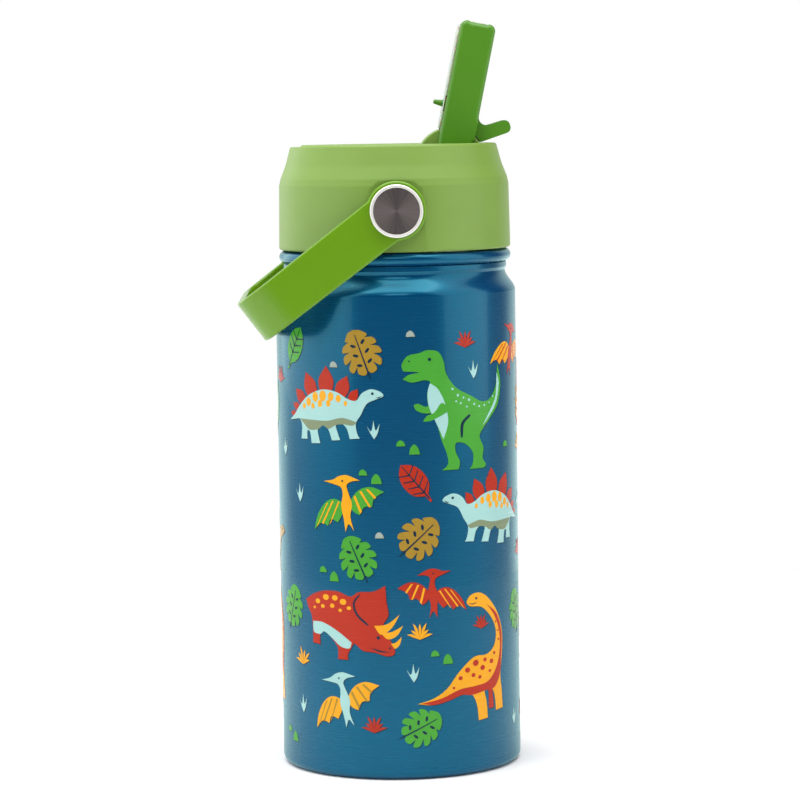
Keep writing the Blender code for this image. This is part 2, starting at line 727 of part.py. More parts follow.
def make_mouthpiece():
    """The soft clear insert that fills the hood's channel and seals on the dome."""
    tip = SPOUT_LENGTH - SPOUT_WALL - GAP
    face_edge, face_low, face_high = SPOUT_HALF_WIDTH - 0.8 * MM, 9.5 * MM, SPOUT_LENGTH - 2.2 * MM
    inner = block(
        "mouthpiece",
        (-SPOUT_FRONT - 0.5 * MM, GAP - CHEEK_INSIDE, 6 * MM),
        (SPOUT_BACK - SPOUT_WALL - GAP, CHEEK_INSIDE - GAP, tip),
    )
    face = block(
        "mouthpiece_face", (-SLEEVE_FACE, -face_edge, face_low), (-SPOUT_FRONT - GAP, face_edge, face_high)
    )
    nozzle_tip = SPOUT_LENGTH + 0.1 * MM
    nozzle = rod("nozzle", NOZZLE_RADIUS, (DRINK_AXIS, 0.0, tip / 2), (DRINK_AXIS, 0.0, nozzle_tip))
    join(inner, face, nozzle)
    dome = rod("foot_sweep", DOME_RADIUS + 0.35 * MM, (0.0, -FAR, 0.0), (0.0, FAR, 0.0), SEGMENTS)
    bridge = block(
        "bridge_slot",
        (-SPOUT_FRONT - GAP, -FAR, PLUG_HEIGHT - BRIDGE_HALF_HEIGHT - GAP),
        (BRIDGE_INSIDE + GAP, FAR, PLUG_HEIGHT + BRIDGE_HALF_HEIGHT + GAP),
    )
    bore = rod("drink_bore", DRINK_BORE, (DRINK_AXIS, 0.0, 0.0), (DRINK_AXIS, 0.0, FAR))
    plug_hole = rod(
        "plug_hole", 1.5 * MM, (-2 * SLEEVE_FACE, 0.0, PLUG_HEIGHT), (BRIDGE_INSIDE, 0.0, PLUG_HEIGHT)
    )
    return finish(cut(inner, dome, bridge, bore, plug_hole), silicone, spout_hinge)


# ---------------------------------------------------------------- assembly

clear_scene()
parts = new_collection("kids_straw_bottle")
cutters = new_collection("cutters")

paint = make_material("body_paint", (0.010, 0.105, 0.215), 0.25)
steel = make_material("stainless_steel", (0.62, 0.62, 0.63), 0.3, 1.0)
dark_steel = make_material("spun_steel", (0.20, 0.18, 0.18), 0.3, 1.0)
glass_solder = make_material("glass_solder", (0.25, 0.26, 0.24), 0.3)
getter_metal = make_material("getter_metal", (0.35, 0.34, 0.33), 0.5, 1.0)
lid_green = make_material("lid_green", (0.27, 0.46, 0.10), 0.45)
spout_green = make_material("spout_green", (0.10, 0.30, 0.015), 0.35)
handle_green = make_material("handle_green", (0.19, 0.40, 0.008), 0.3)
insert_white = make_material("insert_white", (0.80, 0.80, 0.78), 0.5)
silicone = make_material("clear_silicone", (0.85, 0.86, 0.84), 0.4, alpha=0.6)
straw_clear = make_material("straw_clear", (0.80, 0.85, 0.85), 0.25, alpha=0.6)


def make_empty(name, location):
    empty = bpy.data.objects.new(name, None)
    empty.location = location
    empty.empty_display_size = 0.01
    parts.objects.link(empty)
    return empty


lid_axis = make_empty("lid_axis", (0.0, 0.0, 0.0))
spout_hinge = make_empty("spout_hinge", HINGE)
spout_hinge.rotation_euler.y = SPOUT_TILT
handle_pivot = make_empty("handle_pivot", (0.0, 0.0, PIVOT_HEIGHT))
handle_pivot.rotation_euler.y = -HANDLE_HANG

make_outer_shell()
make_outer_bottom()
make_base_cover()
make_vacuum_seal()
make_getter()
make_inner_liner()
make_lid_gasket()
make_lid_cover()
make_lid_inner()
make_vent_valve()
make_straw_sleeve()
make_straw()
for place in ("front", "back"):
    make_spout_pin(place)
    make_pivot_washer(place)
    make_pivot_screw(place)
    make_pivot_cap(place)
make_handle()
make_spout_hood()
make_mouthpiece()
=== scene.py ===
import json
import math

import bmesh
import bpy
from mathutils import Matrix, Vector


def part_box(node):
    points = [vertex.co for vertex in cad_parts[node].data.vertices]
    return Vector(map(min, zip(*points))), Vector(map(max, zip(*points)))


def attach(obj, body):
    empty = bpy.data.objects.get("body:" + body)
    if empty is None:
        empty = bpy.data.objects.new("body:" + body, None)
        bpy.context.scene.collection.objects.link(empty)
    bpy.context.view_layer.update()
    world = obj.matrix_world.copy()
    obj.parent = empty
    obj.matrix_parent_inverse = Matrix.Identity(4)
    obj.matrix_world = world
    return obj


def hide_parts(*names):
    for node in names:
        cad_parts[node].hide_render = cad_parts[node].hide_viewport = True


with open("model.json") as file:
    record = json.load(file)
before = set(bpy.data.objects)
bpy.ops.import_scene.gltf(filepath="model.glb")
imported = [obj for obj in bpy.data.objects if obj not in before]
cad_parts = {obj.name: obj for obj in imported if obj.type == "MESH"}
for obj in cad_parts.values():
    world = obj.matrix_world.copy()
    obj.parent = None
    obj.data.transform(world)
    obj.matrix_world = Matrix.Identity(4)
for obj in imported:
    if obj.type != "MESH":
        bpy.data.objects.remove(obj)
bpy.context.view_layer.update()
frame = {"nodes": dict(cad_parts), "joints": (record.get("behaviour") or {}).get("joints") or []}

joints = {joint["name"]: joint for joint in frame["joints"]}
hinge = Vector(joints["spout_flip"]["pos_m"])
pivot = Vector(joints["handle_swing"]["pos_m"])
mm = 0.001
# the sprayed wall lies a little inside the CAD radius, so that the raised print ends at it
printRelief = 0.12 * mm
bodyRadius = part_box("outer_shell")[1].x - printRelief


class Wire:
    # one output socket; each operator adds a Math node
    def __init__(self, graph, socket):
        self.graph = graph
        self.socket = socket

    def __add__(self, other):
        return self.graph.math("ADD", self, other)

    def __sub__(self, other):
        return self.graph.math("SUBTRACT", self, other)

    def __rsub__(self, other):
        return self.graph.math("SUBTRACT", other, self)

    def __mul__(self, other):
        return self.graph.math("MULTIPLY", self, other)

    def __truediv__(self, other):
        return self.graph.math("DIVIDE", self, other)

    __radd__ = __add__
    __rmul__ = __mul__


class Graph:
    # the node tree of a material, a world or a geometry modifier
    def __init__(self, tree):
        self.tree = tree

    def socketOf(self, sockets, key):
        if isinstance(key, int):
            return sockets[key]
        return next(s for s in sockets if s.enabled and key in (s.identifier, s.name))

    def add(self, kind, settings=None, inputs=None, output=0):
        node = self.tree.nodes.new(kind)
        for name, value in (settings or {}).items():
            setattr(node, name, value)
        for key, value in (inputs or {}).items():
            socket = self.socketOf(node.inputs, key)
            if isinstance(value, Wire):
                self.tree.links.new(value.socket, socket)
            else:
                socket.default_value = value
        return Wire(self, self.socketOf(node.outputs, output))

    def noise(self, stretch, detail=3.0, roughness=0.5):
        # stretch is how many features lie in a metre along each axis
        coordinates = self.add("ShaderNodeTexCoord", output="Object")
        placed = self.add("ShaderNodeMapping", {}, {"Vector": coordinates, "Scale": stretch})
        return self.add(
            "ShaderNodeTexNoise", {},
            {"Vector": placed, "Scale": 1.0, "Detail": detail, "Roughness": roughness},
        )

    def math(self, operation, first, second=0.0):
        return self.add("ShaderNodeMath", {"operation": operation}, {0: first, 1: second})

    def vector(self, operation, first, second=(0.0, 0.0, 0.0), output=0):
        return self.add("ShaderNodeVectorMath", {"operation": operation}, {0: first, 1: second}, output)

    def part(self, vector, axis):
        return self.add("ShaderNodeSeparateXYZ", {}, {"Vector": vector}, axis)

    def bump(self, height, strength, depth):
        return self.add("ShaderNodeBump", {}, {"Strength": strength, "Distance": depth, "Height": height})

    def blend(self, factor, first, second):
        return self.add(
            "ShaderNodeMix", {"data_type": "RGBA"},
            {"Factor_Float": factor, "A_Color": (*first, 1.0), "B_Color": (*second, 1.0)}, "Result_Color",
        )


def finishOf(name, fixed, varied):
    material = bpy.data.materials.new(name)
    material.use_nodes = True
    tree = material.node_tree
    shader = tree.nodes["Principled BSDF"]
    for socket, value in fixed.items():
        shader.inputs[socket].default_value = value
    for socket, wire in varied(Graph(tree)).items():
        tree.links.new(wire.socket, shader.inputs[socket])
    return material


def linear(hexColor):
    # a screen colour such as "5ca83c" as linear light
    parts = [int(hexColor[i:i + 2], 16) / 255 for i in (0, 2, 4)]
    return tuple(c / 12.92 if c <= 0.04045 else ((c + 0.055) / 1.055) ** 2.4 for c in parts)


def shaded(color, amount):
    return tuple(c * amount for c in color)


paintLook = {
    "color": (0.0, 0.047, 0.155), "metallic": 0.3, "roughness": 0.27, "coat": 0.18, "coatRoughness": 0.05,
    "gloss": 1.0, "glossTint": (0.1, 1.0, 0.75),
    "streaks": (55.0, 55.0, 2400.0), "streakDepth": 0.00002, "streakStrength": 0.05,
    "patches": (90.0, 90.0, 60.0), "patchShade": 0.07, "glossChange": 0.02,
}


def paintVaried(color):
    # fine rings left by spinning the tube while it is sprayed, under a clear coat
    def varied(graph):
        streaks = graph.noise(paintLook["streaks"], 2.0)
        patches = graph.noise(paintLook["patches"], 2.0)
        shade, change = paintLook["patchShade"], paintLook["glossChange"]
        return {
            "Base Color": graph.blend(patches, shaded(color, 1 - shade), shaded(color, 1 + shade)),
            "Roughness": paintLook["roughness"] - change + 2 * change * streaks,
            "Normal": graph.bump(streaks, paintLook["streakStrength"], paintLook["streakDepth"]),
        }
    return varied


def paintFinish(name, color, metallic, gloss=0.1, glossTint=(1.0, 1.0, 1.0)):
    return finishOf(
        name,
        {"Metallic": metallic, "Coat Weight": paintLook["coat"], "Coat Roughness": paintLook["coatRoughness"],
         "Specular IOR Level": gloss, "Specular Tint": (*glossTint, 1.0)},
        paintVaried(color),
    )


def mouldedFinish(name, color, roughness, grain, depth, fixed=None):
    # moulded plastic: an even fine grain, a faint cloudiness and slightly uneven gloss
    def varied(graph):
        clouds = graph.noise((70.0, 70.0, 70.0), 2.0)
        pits = graph.noise((grain, grain, grain), 2.0, 0.6)
        return {
            "Base Color": graph.blend(clouds, shaded(color, 0.95), shaded(color, 1.05)),
            "Roughness": roughness - 0.03 + 0.06 * clouds,
            "Normal": graph.bump(pits, 0.4, depth),
        }
    return finishOf(name, fixed or {}, varied)


def turnedSteel(name, color, roughness, stretch, depth=0.00002):
    # fine lines round the axis from turning or brushing
    def varied(graph):
        lines = graph.noise(stretch, 3.0, 0.6)
        smears = graph.noise((120.0, 120.0, 120.0), 3.0)
        return {
            "Base Color": graph.blend(smears, shaded(color, 0.92), color),
            "Roughness": roughness - 0.07 + 0.14 * lines,
            "Normal": graph.bump(lines, 0.5, depth),
        }
    return finishOf(name, {"Metallic": 1.0}, varied)


def spunSteel(name, color, roughness, groove):
    # a disc faced on a lathe: rings about the pivot's Y axis, with grooves too fine to count, and a colour
    # that is partly painted sheen: lighter to the left and right and along radial streaks, standing in for
    # the spun metal's highlights
    def varied(graph):
        coordinates = graph.add("ShaderNodeTexCoord", output="Object")
        placed = graph.vector("SUBTRACT", coordinates, (pivot.x, 0.0, pivot.z))
        flat = graph.vector("MULTIPLY", placed, (1.0, 0.0, 1.0))
        radius = graph.vector("LENGTH", flat, output="Value")
        rings = graph.add(
            "ShaderNodeTexNoise", {"noise_dimensions": "1D"},
            {"W": radius / groove, "Scale": 1.0, "Detail": 4.0, "Roughness": 0.7},
        )
        unit = graph.vector("NORMALIZE", flat)
        rayGrainAndSheen = graph.add(
            "ShaderNodeTexNoise", {}, {"Vector": unit, "Scale": 7.0, "Detail": 6.0, "Roughness": 0.75}
        )
        # painted sheen: the colour grows lighter towards the left and right of the disc, by the square of X,
        # and along radial streaks that are partly real grain
        side = graph.part(unit, "X")
        paintedSheenAndGrain = 0.75 * rayGrainAndSheen + 0.5 * side * side - 0.15
        return {
            "Base Color": graph.blend(paintedSheenAndGrain, shaded(color, 0.45), shaded(color, 1.7)),
            "Roughness": roughness - 0.06 + 0.12 * rings,
            "Normal": graph.bump(rings, 0.6, 0.00003),
        }
    return finishOf(name, {"Metallic": 1.0}, varied)


softLook = {"Transmission Weight": 0.25, "Subsurface Weight": 0.4, "Subsurface Scale": 0.004, "IOR": 1.41}
bodyPaint = paintFinish(
    "bodyPaint", paintLook["color"], paintLook["metallic"], paintLook["gloss"], paintLook["glossTint"]
)
brushedSteel = turnedSteel("brushedSteel", (0.60, 0.60, 0.61), 0.28, (40.0, 40.0, 3500.0))
baseSteel = turnedSteel("baseSteel", (0.58, 0.58, 0.59), 0.32, (600.0, 600.0, 600.0))
capRimSteel = mouldedFinish("capRimSteel", (0.86, 0.84, 0.80), 0.34, 900.0, 0.00001, {"Metallic": 0.55})
# the pivot caps' disc, whose colour carries a painted sheen
capDiscSteel = spunSteel("capDiscSteel", (0.215, 0.185, 0.18), 0.34, 0.00007)
lidPlastic = mouldedFinish("lidPlastic", (0.168, 0.292, 0.040), 0.46, 4200.0, 0.00003)
spoutPlastic = mouldedFinish("spoutPlastic", (0.062, 0.215, 0.003), 0.38, 2600.0, 0.00001)
handlePlastic = mouldedFinish("handlePlastic", (0.116, 0.270, 0.0005), 0.24, 2600.0, 0.00001)
whitePlastic = mouldedFinish("whitePlastic", (0.78, 0.78, 0.75), 0.42, 3000.0, 0.00002)
silicone = mouldedFinish("silicone", (0.50, 0.57, 0.48), 0.36, 1800.0, 0.00002, softLook)
strawPlastic = mouldedFinish(
    "strawPlastic", (0.82, 0.88, 0.86), 0.16, 1500.0, 0.00001, {"Transmission Weight": 0.7, "IOR": 1.46}
)
glassSolder = mouldedFinish("glassSolder", (0.20, 0.21, 0.19), 0.18, 1500.0, 0.00008)
getterMetal = turnedSteel("getterMetal", (0.33, 0.32, 0.31), 0.55, (5000.0, 5000.0, 5000.0), 0.0001)
print("finishes made")


def inMetres(points):
    return [tuple(c * mm for c in p[:2]) for p in points]


def quarter(steps):
    return [math.pi / 2 * k / steps for k in range(steps + 1)]


def arc(center, radius, start, end, steps):
    angles = [math.radians(start + (end - start) * i / steps) for i in range(steps + 1)]
    return [(center[0] + radius * math.cos(a), center[1] + radius * math.sin(a)) for a in angles]


def filleted(points, steps=6, closed=True):
    # rounds each (x, y, radius) corner of an outline
    made = []
    for i, (x, y, *radius) in enumerate(points):
        here = Vector((x, y))
        atEnd = not closed and i in (0, len(points) - 1)
        if atEnd or not radius or radius[0] <= 0:
            made.append((x, y))
            continue
        before = Vector(points[i - 1][:2]) - here
        after = Vector(points[(i + 1) % len(points)][:2]) - here
        half = before.angle(after) / 2
        if math.sin(2 * half) < 1e-4:
            made.append((x, y))
            continue
        reach = min(radius[0] / math.tan(half), 0.49 * before.length, 0.49 * after.length)
        size = reach * math.tan(half)
        before.normalize()
        after.normalize()
        center = here + (before + after).normalized() * size / math.sin(half)
        first, last = here + before * reach - center, here + after * reach - center
        sweep = math.pi - 2 * half
        for k in range(steps + 1):
            t = k / steps
            weightA, weightB = math.sin((1 - t) * sweep), math.sin(t * sweep)
            spoke = (first * weightA + last * weightB) / math.sin(sweep)
            made.append(tuple(center + spoke))
    return made


def smoothed(points, steps=5):
    # a closed line through points; one written (x, y, 1) is a sharp corner
    made = []
    count = len(points)
    for i in range(count):
        a, b = points[i], points[(i + 1) % count]
        start, end = Vector(a[:2]), Vector(b[:2])
        before = start - (end - start) * 0.3 if len(a) > 2 else Vector(points[i - 1][:2])
        after = end + (end - start) * 0.3 if len(b) > 2 else Vector(points[(i + 2) % count][:2])
        for k in range(steps):
            t = k / steps
            made.append(tuple(0.5 * (
                2 * start + (end - before) * t + (2 * before - 5 * start + 4 * end - after) * t * t
                + (3 * start - before - 3 * end + after) * t ** 3
            )))
    return made


def linked(name, data):
    item = bpy.data.objects.new(name, data)
    bpy.context.scene.collection.objects.link(item)
    return item


def meshed(name, bm):
    mesh = bpy.data.meshes.new(name)
    bm.to_mesh(mesh)
    bm.free()
    return linked(name, mesh)


def itemOf(name, bm):
    bmesh.ops.remove_doubles(bm, verts=bm.verts, dist=1e-7)
    bm.normal_update()
    bmesh.ops.recalc_face_normals(bm, faces=bm.faces)
    bmesh.ops.triangulate(bm, faces=[f for f in bm.faces if len(f.verts) > 4])
    return meshed(name, bm)


def lathe(name, profile, steps=160):
    # turns a closed (radius, height) profile about Z; it may start and end on the axis
    bm = bmesh.new()
    turns = [2 * math.pi * i / steps for i in range(steps)]
    rings = []
    for radius, height in profile:
        if radius < 1e-7:
            rings.append([bm.verts.new((0.0, 0.0, height))] * steps)
        else:
            spots = [(radius * math.cos(a), radius * math.sin(a), height) for a in turns]
            rings.append([bm.verts.new(spot) for spot in spots])
    if profile[0][0] > 1e-7:
        rings.append(rings[0])
    for low, high in zip(rings, rings[1:]):
        for i in range(steps):
            j = (i + 1) % steps
            corners = list(dict.fromkeys((low[i], low[j], high[j], high[i])))
            if len(corners) > 2:
                bm.faces.new(corners)
    return itemOf(name, bm)


def turnedRing(name, points, steps):
    # a closed (radius, height, corner) outline in millimetres turned about Z
    return lathe(name, inMetres(filleted(points)), steps)


def turnedSolid(name, points, steps):
    # the same for a solid whose outline starts and ends level with points on the axis
    made = filleted(points, closed=False)
    return lathe(name, inMetres([(0.0, made[0][1])] + made + [(0.0, made[-1][1])]), steps)


def sliceAt(bm, x):
    everything = list(bm.verts) + list(bm.edges) + list(bm.faces)
    bmesh.ops.bisect_plane(bm, geom=everything, plane_co=(x, 0.0, 0.0), plane_no=(1.0, 0.0, 0.0))


def closedSkin(name, bm, rings):
    # joins rings of vertices into one body with a flat face at each end
    for low, high in zip(rings, rings[1:]):
        for i in range(len(low)):
            j = (i + 1) % len(low)
            bm.faces.new((low[i], low[j], high[j], high[i]))
    bm.faces.new(rings[0])
    bm.faces.new(list(reversed(rings[-1])))
    return itemOf(name, bm)


def inset(outline, depth):
    # moves an anticlockwise outline inwards
    made = []
    for i, here in enumerate(outline):
        here = Vector(here)
        before = (here - Vector(outline[i - 1])).normalized()
        after = (Vector(outline[(i + 1) % len(outline)]) - here).normalized()
        normalA, normalB = Vector((-before.y, before.x)), Vector((-after.y, after.x))
        between = (normalA + normalB).normalized()
        made.append(tuple(here + between * depth / max(0.5, between.dot(normalA))))
    return made


def slab(name, outline, halfWidth, edge=0.0, steps=5):
    # an (x, z) outline, anticlockwise, given its width along Y and a rounded edge
    layers = [(-halfWidth, 0.0), (halfWidth, 0.0)]
    if edge:
        low = [(-halfWidth + edge * (1 - math.cos(a)), edge * (1 - math.sin(a))) for a in quarter(steps)]
        layers = low + [(-y, depth) for y, depth in reversed(low)]
    bm = bmesh.new()
    rings = []
    for y, depth in layers:
        shape = inset(outline, depth) if depth > 1e-9 else outline
        rings.append([bm.verts.new((x, y, z)) for x, z in shape])
    return closedSkin(name, bm, rings)


def anticlockwise(outline):
    area = sum(a[0] * b[1] - b[0] * a[1] for a, b in zip(outline, outline[1:] + outline[:1]))
    return outline if area > 0 else list(reversed(outline))


def box(name, low, high, corner=0.0, lean="Y", edge=0.0):
    # a block between two corners; its outline across the lean axis has round corners
    low, high = Vector(low), Vector(high)
    a, along, b = {"Y": (0, 1, 2), "Z": (0, 2, 1), "X": (1, 0, 2)}[lean]
    outline = filleted([
        (low[a], low[b], corner), (high[a], low[b], corner),
        (high[a], high[b], corner), (low[a], high[b], corner),
    ])
    middle = (low[along] + high[along]) / 2
    item = slab(name, outline, (high[along] - low[along]) / 2, edge)
    for vertex in item.data.vertices:
        x, y, z = vertex.co
        vertex.co[a], vertex.co[along], vertex.co[b] = x, y + middle, z
    return outward(item)


def outward(item):
    bm = bmesh.new()
    bm.from_mesh(item.data)
    bmesh.ops.recalc_face_normals(bm, faces=bm.faces)
    bm.to_mesh(item.data)
    bm.free()
    return item


def settle(item):
    # applies the item's modifiers
    graph = bpy.context.evaluated_depsgraph_get()
    graph.update()
    made = bpy.data.meshes.new_from_object(item.evaluated_get(graph))
    old = item.data
    item.modifiers.clear()
    item.data = made
    bpy.data.meshes.remove(old)
    return item


def carve(item, *tools, operation="DIFFERENCE"):
    for tool in tools:
        step = item.modifiers.new("carve", "BOOLEAN")
        step.operation = operation
        step.solver = "EXACT"
        step.object = tool
        settle(item)
        bpy.data.objects.remove(tool, do_unlink=True)
    return item


def weld(item, *others):
    return carve(item, *others, operation="UNION")


def moved(item, matrix):
    item.data.transform(matrix)
    return outward(item) if matrix.to_3x3().determinant() < 0 else item


def rod(name, radius, start, end, steps=48):
    start, end = Vector(start), Vector(end)
    along = end - start
    turn = along.to_track_quat("Z", "Y").to_matrix().to_4x4()
    return moved(
        lathe(name, [(0.0, 0.0), (radius, 0.0), (radius, along.length), (0.0, along.length)], steps),
        Matrix.Translation(start) @ turn,
    )


def finished(item, material, body, nodes=(), angle=38.0):
    # gives a piece its finish and smooth normals, hangs it under its body and hides the CAD parts it stands
    # for
    item.data.materials.clear()
    item.data.materials.append(material)
    item.data.shade_smooth()
    item.data.set_sharp_from_angle(angle=math.radians(angle))
    weighted = item.modifiers.new("evenNormals", "WEIGHTED_NORMAL")
    weighted.keep_sharp = True
    settle(item)
    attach(item, body)
    if nodes:
        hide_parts(*nodes)
    return item


def geometryTree(name, inputs):
    # a new geometry tree, its graph, its Group Input wires by name, and a closing step
    tree = bpy.data.node_groups.new(name, "GeometryNodeTree")
    tree.interface.new_socket("Geometry", in_out="INPUT", socket_type="NodeSocketGeometry")
    tree.interface.new_socket("Geometry", in_out="OUTPUT", socket_type="NodeSocketGeometry")
    for label, kind in inputs.items():
        tree.interface.new_socket(label, in_out="INPUT", socket_type="NodeSocket" + kind)
    graph = Graph(tree)
    entry = tree.nodes.new("NodeGroupInput")
    wires = {socket.name: Wire(graph, socket) for socket in entry.outputs if socket.name}
    return tree, graph, wires


def closeTree(graph, geometry, material):
    real = graph.add("GeometryNodeRealizeInstances", {}, {"Geometry": geometry})
    dressed = graph.add("GeometryNodeSetMaterial", {}, {"Geometry": real, "Material": material})
    leave = graph.tree.nodes.new("NodeGroupOutput")
    graph.tree.links.new(dressed.socket, leave.inputs["Geometry"])


def grow(item, tree, values):
    # runs a geometry tree on an item with its inputs set, and keeps the plain mesh
    modifier = item.modifiers.new(tree.name, "NODES")
    modifier.node_group = tree
    for socket in tree.interface.items_tree:
        if socket.in_out == "INPUT" and socket.name in values:
            modifier[socket.identifier] = values[socket.name]
    return settle(item)


cameraLook = {
    "lens": 143.1, "distance": 0.966, "azimuth": -1.0, "height": 0.1952, "tilt": 5.03, "roll": -0.865,
    "shiftRight": 0.0009,
}


def aimed(place, target):
    return Matrix.Translation(place) @ (target - place).to_track_quat("-Z", "Y").to_matrix().to_4x4()


def placeCamera(look):
    data = bpy.data.cameras.new("studioCamera")
    data.lens = look["lens"]
    data.sensor_width = 36.0
    data.clip_start = 0.05
    camera = linked("studioCamera", data)
    turn = math.radians(look["azimuth"])
    right = Vector((math.cos(turn), math.sin(turn), 0.0))
    back = Vector((math.sin(turn), -math.cos(turn), 0.0))
    drop = look["distance"] * math.tan(math.radians(look["tilt"]))
    place = back * look["distance"] + Vector((0.0, 0.0, look["height"]))
    target = right * look["shiftRight"] + Vector((0.0, 0.0, look["height"] - drop))
    camera.matrix_world = aimed(place, target) @ Matrix.Rotation(math.radians(look["roll"]), 4, "Z")
    bpy.context.scene.camera = camera


# each lamp is a flat box light: where its middle is, where it looks, its sides and how bright it is
lampLook = {
    "leftBox": {"at": (-0.47, 0.09, 0.47), "to": (0.0, 0.09, 0.30), "size": (1.50, 0.90), "bright": 1.6},
    "rightBox": {"at": (0.47, -0.28, 0.47), "to": (0.0, -0.28, 0.30), "size": (0.66, 0.90), "bright": 1.6},
    "topBox": {"at": (0.0, -0.15, 0.95), "to": (0.0, 0.0, 0.1), "size": (0.9, 0.9), "bright": 3.9},
    "frontFill": {"at": (0.0, -1.6, 1.15), "to": (0.0, 0.0, 0.1), "size": (0.7, 0.4), "bright": 4.0},
}


def placeLamp(name, look):
    data = bpy.data.lights.new(name, "AREA")
    data.shape = "RECTANGLE"
    data.size, data.size_y = look["size"]
    data.energy = look["bright"] * math.pi * data.size * data.size_y
    lamp = linked(name, data)
    lamp.matrix_world = aimed(Vector(look["at"]), Vector(look["to"]))
    lamp.visible_camera = False


def lightWorld():
    # a white room behind the bottle, a dark one behind the camera and a soft glow from below the horizon
    world = bpy.data.worlds.new("studio")
    bpy.context.scene.world = world
    world.use_nodes = True
    tree = world.node_tree
    graph = Graph(tree)
    direction = graph.add("ShaderNodeTexCoord", output="Generated")
    wall = graph.add("ShaderNodeMapRange", {"interpolation_type": "SMOOTHSTEP"}, {
        "Value": graph.part(direction, "Y"), "From Min": 0.55, "From Max": 0.85,
        "To Min": 0.05, "To Max": 0.95,
    })
    glow = graph.add("ShaderNodeMapRange", {"interpolation_type": "SMOOTHSTEP"}, {
        "Value": graph.part(direction, "Z"), "From Min": -0.17, "From Max": 0.0,
        "To Min": 0.75, "To Max": 0.0,
    })
    seen = graph.add("ShaderNodeLightPath", output="Is Camera Ray")
    strength = seen + (1.0 - seen) * (wall + glow)
    tree.links.new(strength.socket, tree.nodes["Background"].inputs["Strength"])
    tree.nodes["Background"].inputs["Color"].default_value = (1.0, 1.0, 1.0, 1.0)


floorLook = {"radius": 0.42, "depth": 0.004, "color": (0.93, 0.93, 0.93), "roughness": 0.6}


def layFloor(look):
    radius, depth = look["radius"], look["depth"]
    floor = lathe("floor", [(0.0, -depth), (radius, -depth), (radius, 0.0), (0.0, 0.0)], 96)
    paper = finishOf(
        "floorPaper", {"Base Color": (*look["color"], 1.0), "Specular IOR Level": 0.1},
        lambda graph: {"Roughness": look["roughness"] + 0.05 * graph.noise((60.0, 60.0, 60.0))},
    )
    floor.data.materials.append(paper)


placeCamera(cameraLook)
for lampName, lamp in lampLook.items():
    placeLamp(lampName, lamp)
lightWorld()
layFloor(floorLook)
bpy.context.scene.view_settings.view_transform = "Standard"
print("studio set")


bottleLook = {
    "shoulder": (143.6, 149.8), "cove": 33.3, "land": 33.75, "landTop": 152.2, "bead": (35.1, 154.4, 1.9),
    "neck": (30.0, 29.4, 156.3, 169.4), "edge": 2.5, "seam": 33.2, "wall": 0.6,
}


def shoulderLine(top, bottom, radiusTop, radiusBottom, steps):
    made = []
    for i in range(steps + 1):
        t = i / steps
        radius = radiusTop + (radiusBottom - radiusTop) * t * t * (3 - 2 * t)
        made.append((radius, top + (bottom - top) * t))
    return made


def makeBottleShell(look):
    # the sprayed outer tube, from the bead under the lid to the turned-in foot
    radius = bodyRadius / mm
    low, high = look["shoulder"]
    beadRadius, beadHeight, beadRound = look["bead"]
    bore = look["neck"][1]
    edge = look["edge"]
    outside = [(bore, beadHeight + beadRound)]
    outside += arc((beadRadius - beadRound, beadHeight), beadRound, 90, -72, 16)
    outside += filleted([
        (look["land"] - 0.35, look["landTop"] + 0.25), (look["land"], look["landTop"] + 0.1, 0.25),
        (look["land"], look["landTop"] - 1.4, 0.5), (look["cove"], high + 0.15, 0.3),
        (look["cove"] - 0.02, high),
    ], closed=False)
    outside += shoulderLine(high, low, look["cove"], radius, 24)[1:]
    outside += [(radius, low * (1 - i / 24) + edge * i / 24) for i in range(1, 24)]
    outside += arc((radius - edge, edge), edge, 0, -90, 12)
    inside = [(look["seam"], 0.0), (look["seam"], look["wall"])]
    inside += arc((radius - edge, edge), edge - look["wall"], -90, 0, 8)
    slope = shoulderLine(high, low, look["cove"], radius, 12)
    inside += [(r - look["wall"], z - 0.3) for r, z in reversed(slope)]
    inside += [(bore, beadHeight)]
    shell = lathe("bottleShell", inMetres(outside + inside), 192)
    return finished(shell, bodyPaint, "bottle", ["outer_shell"])


threadLook = {
    "lead": 20.0, "starts": 4, "ridge": 1.0, "neckBottom": 161.2, "neckSweep": 100.0,
    "lidBore": 31.4, "lidDrop": 2.4, "lidLag": 20.0, "lidSweep": 60.0,
}


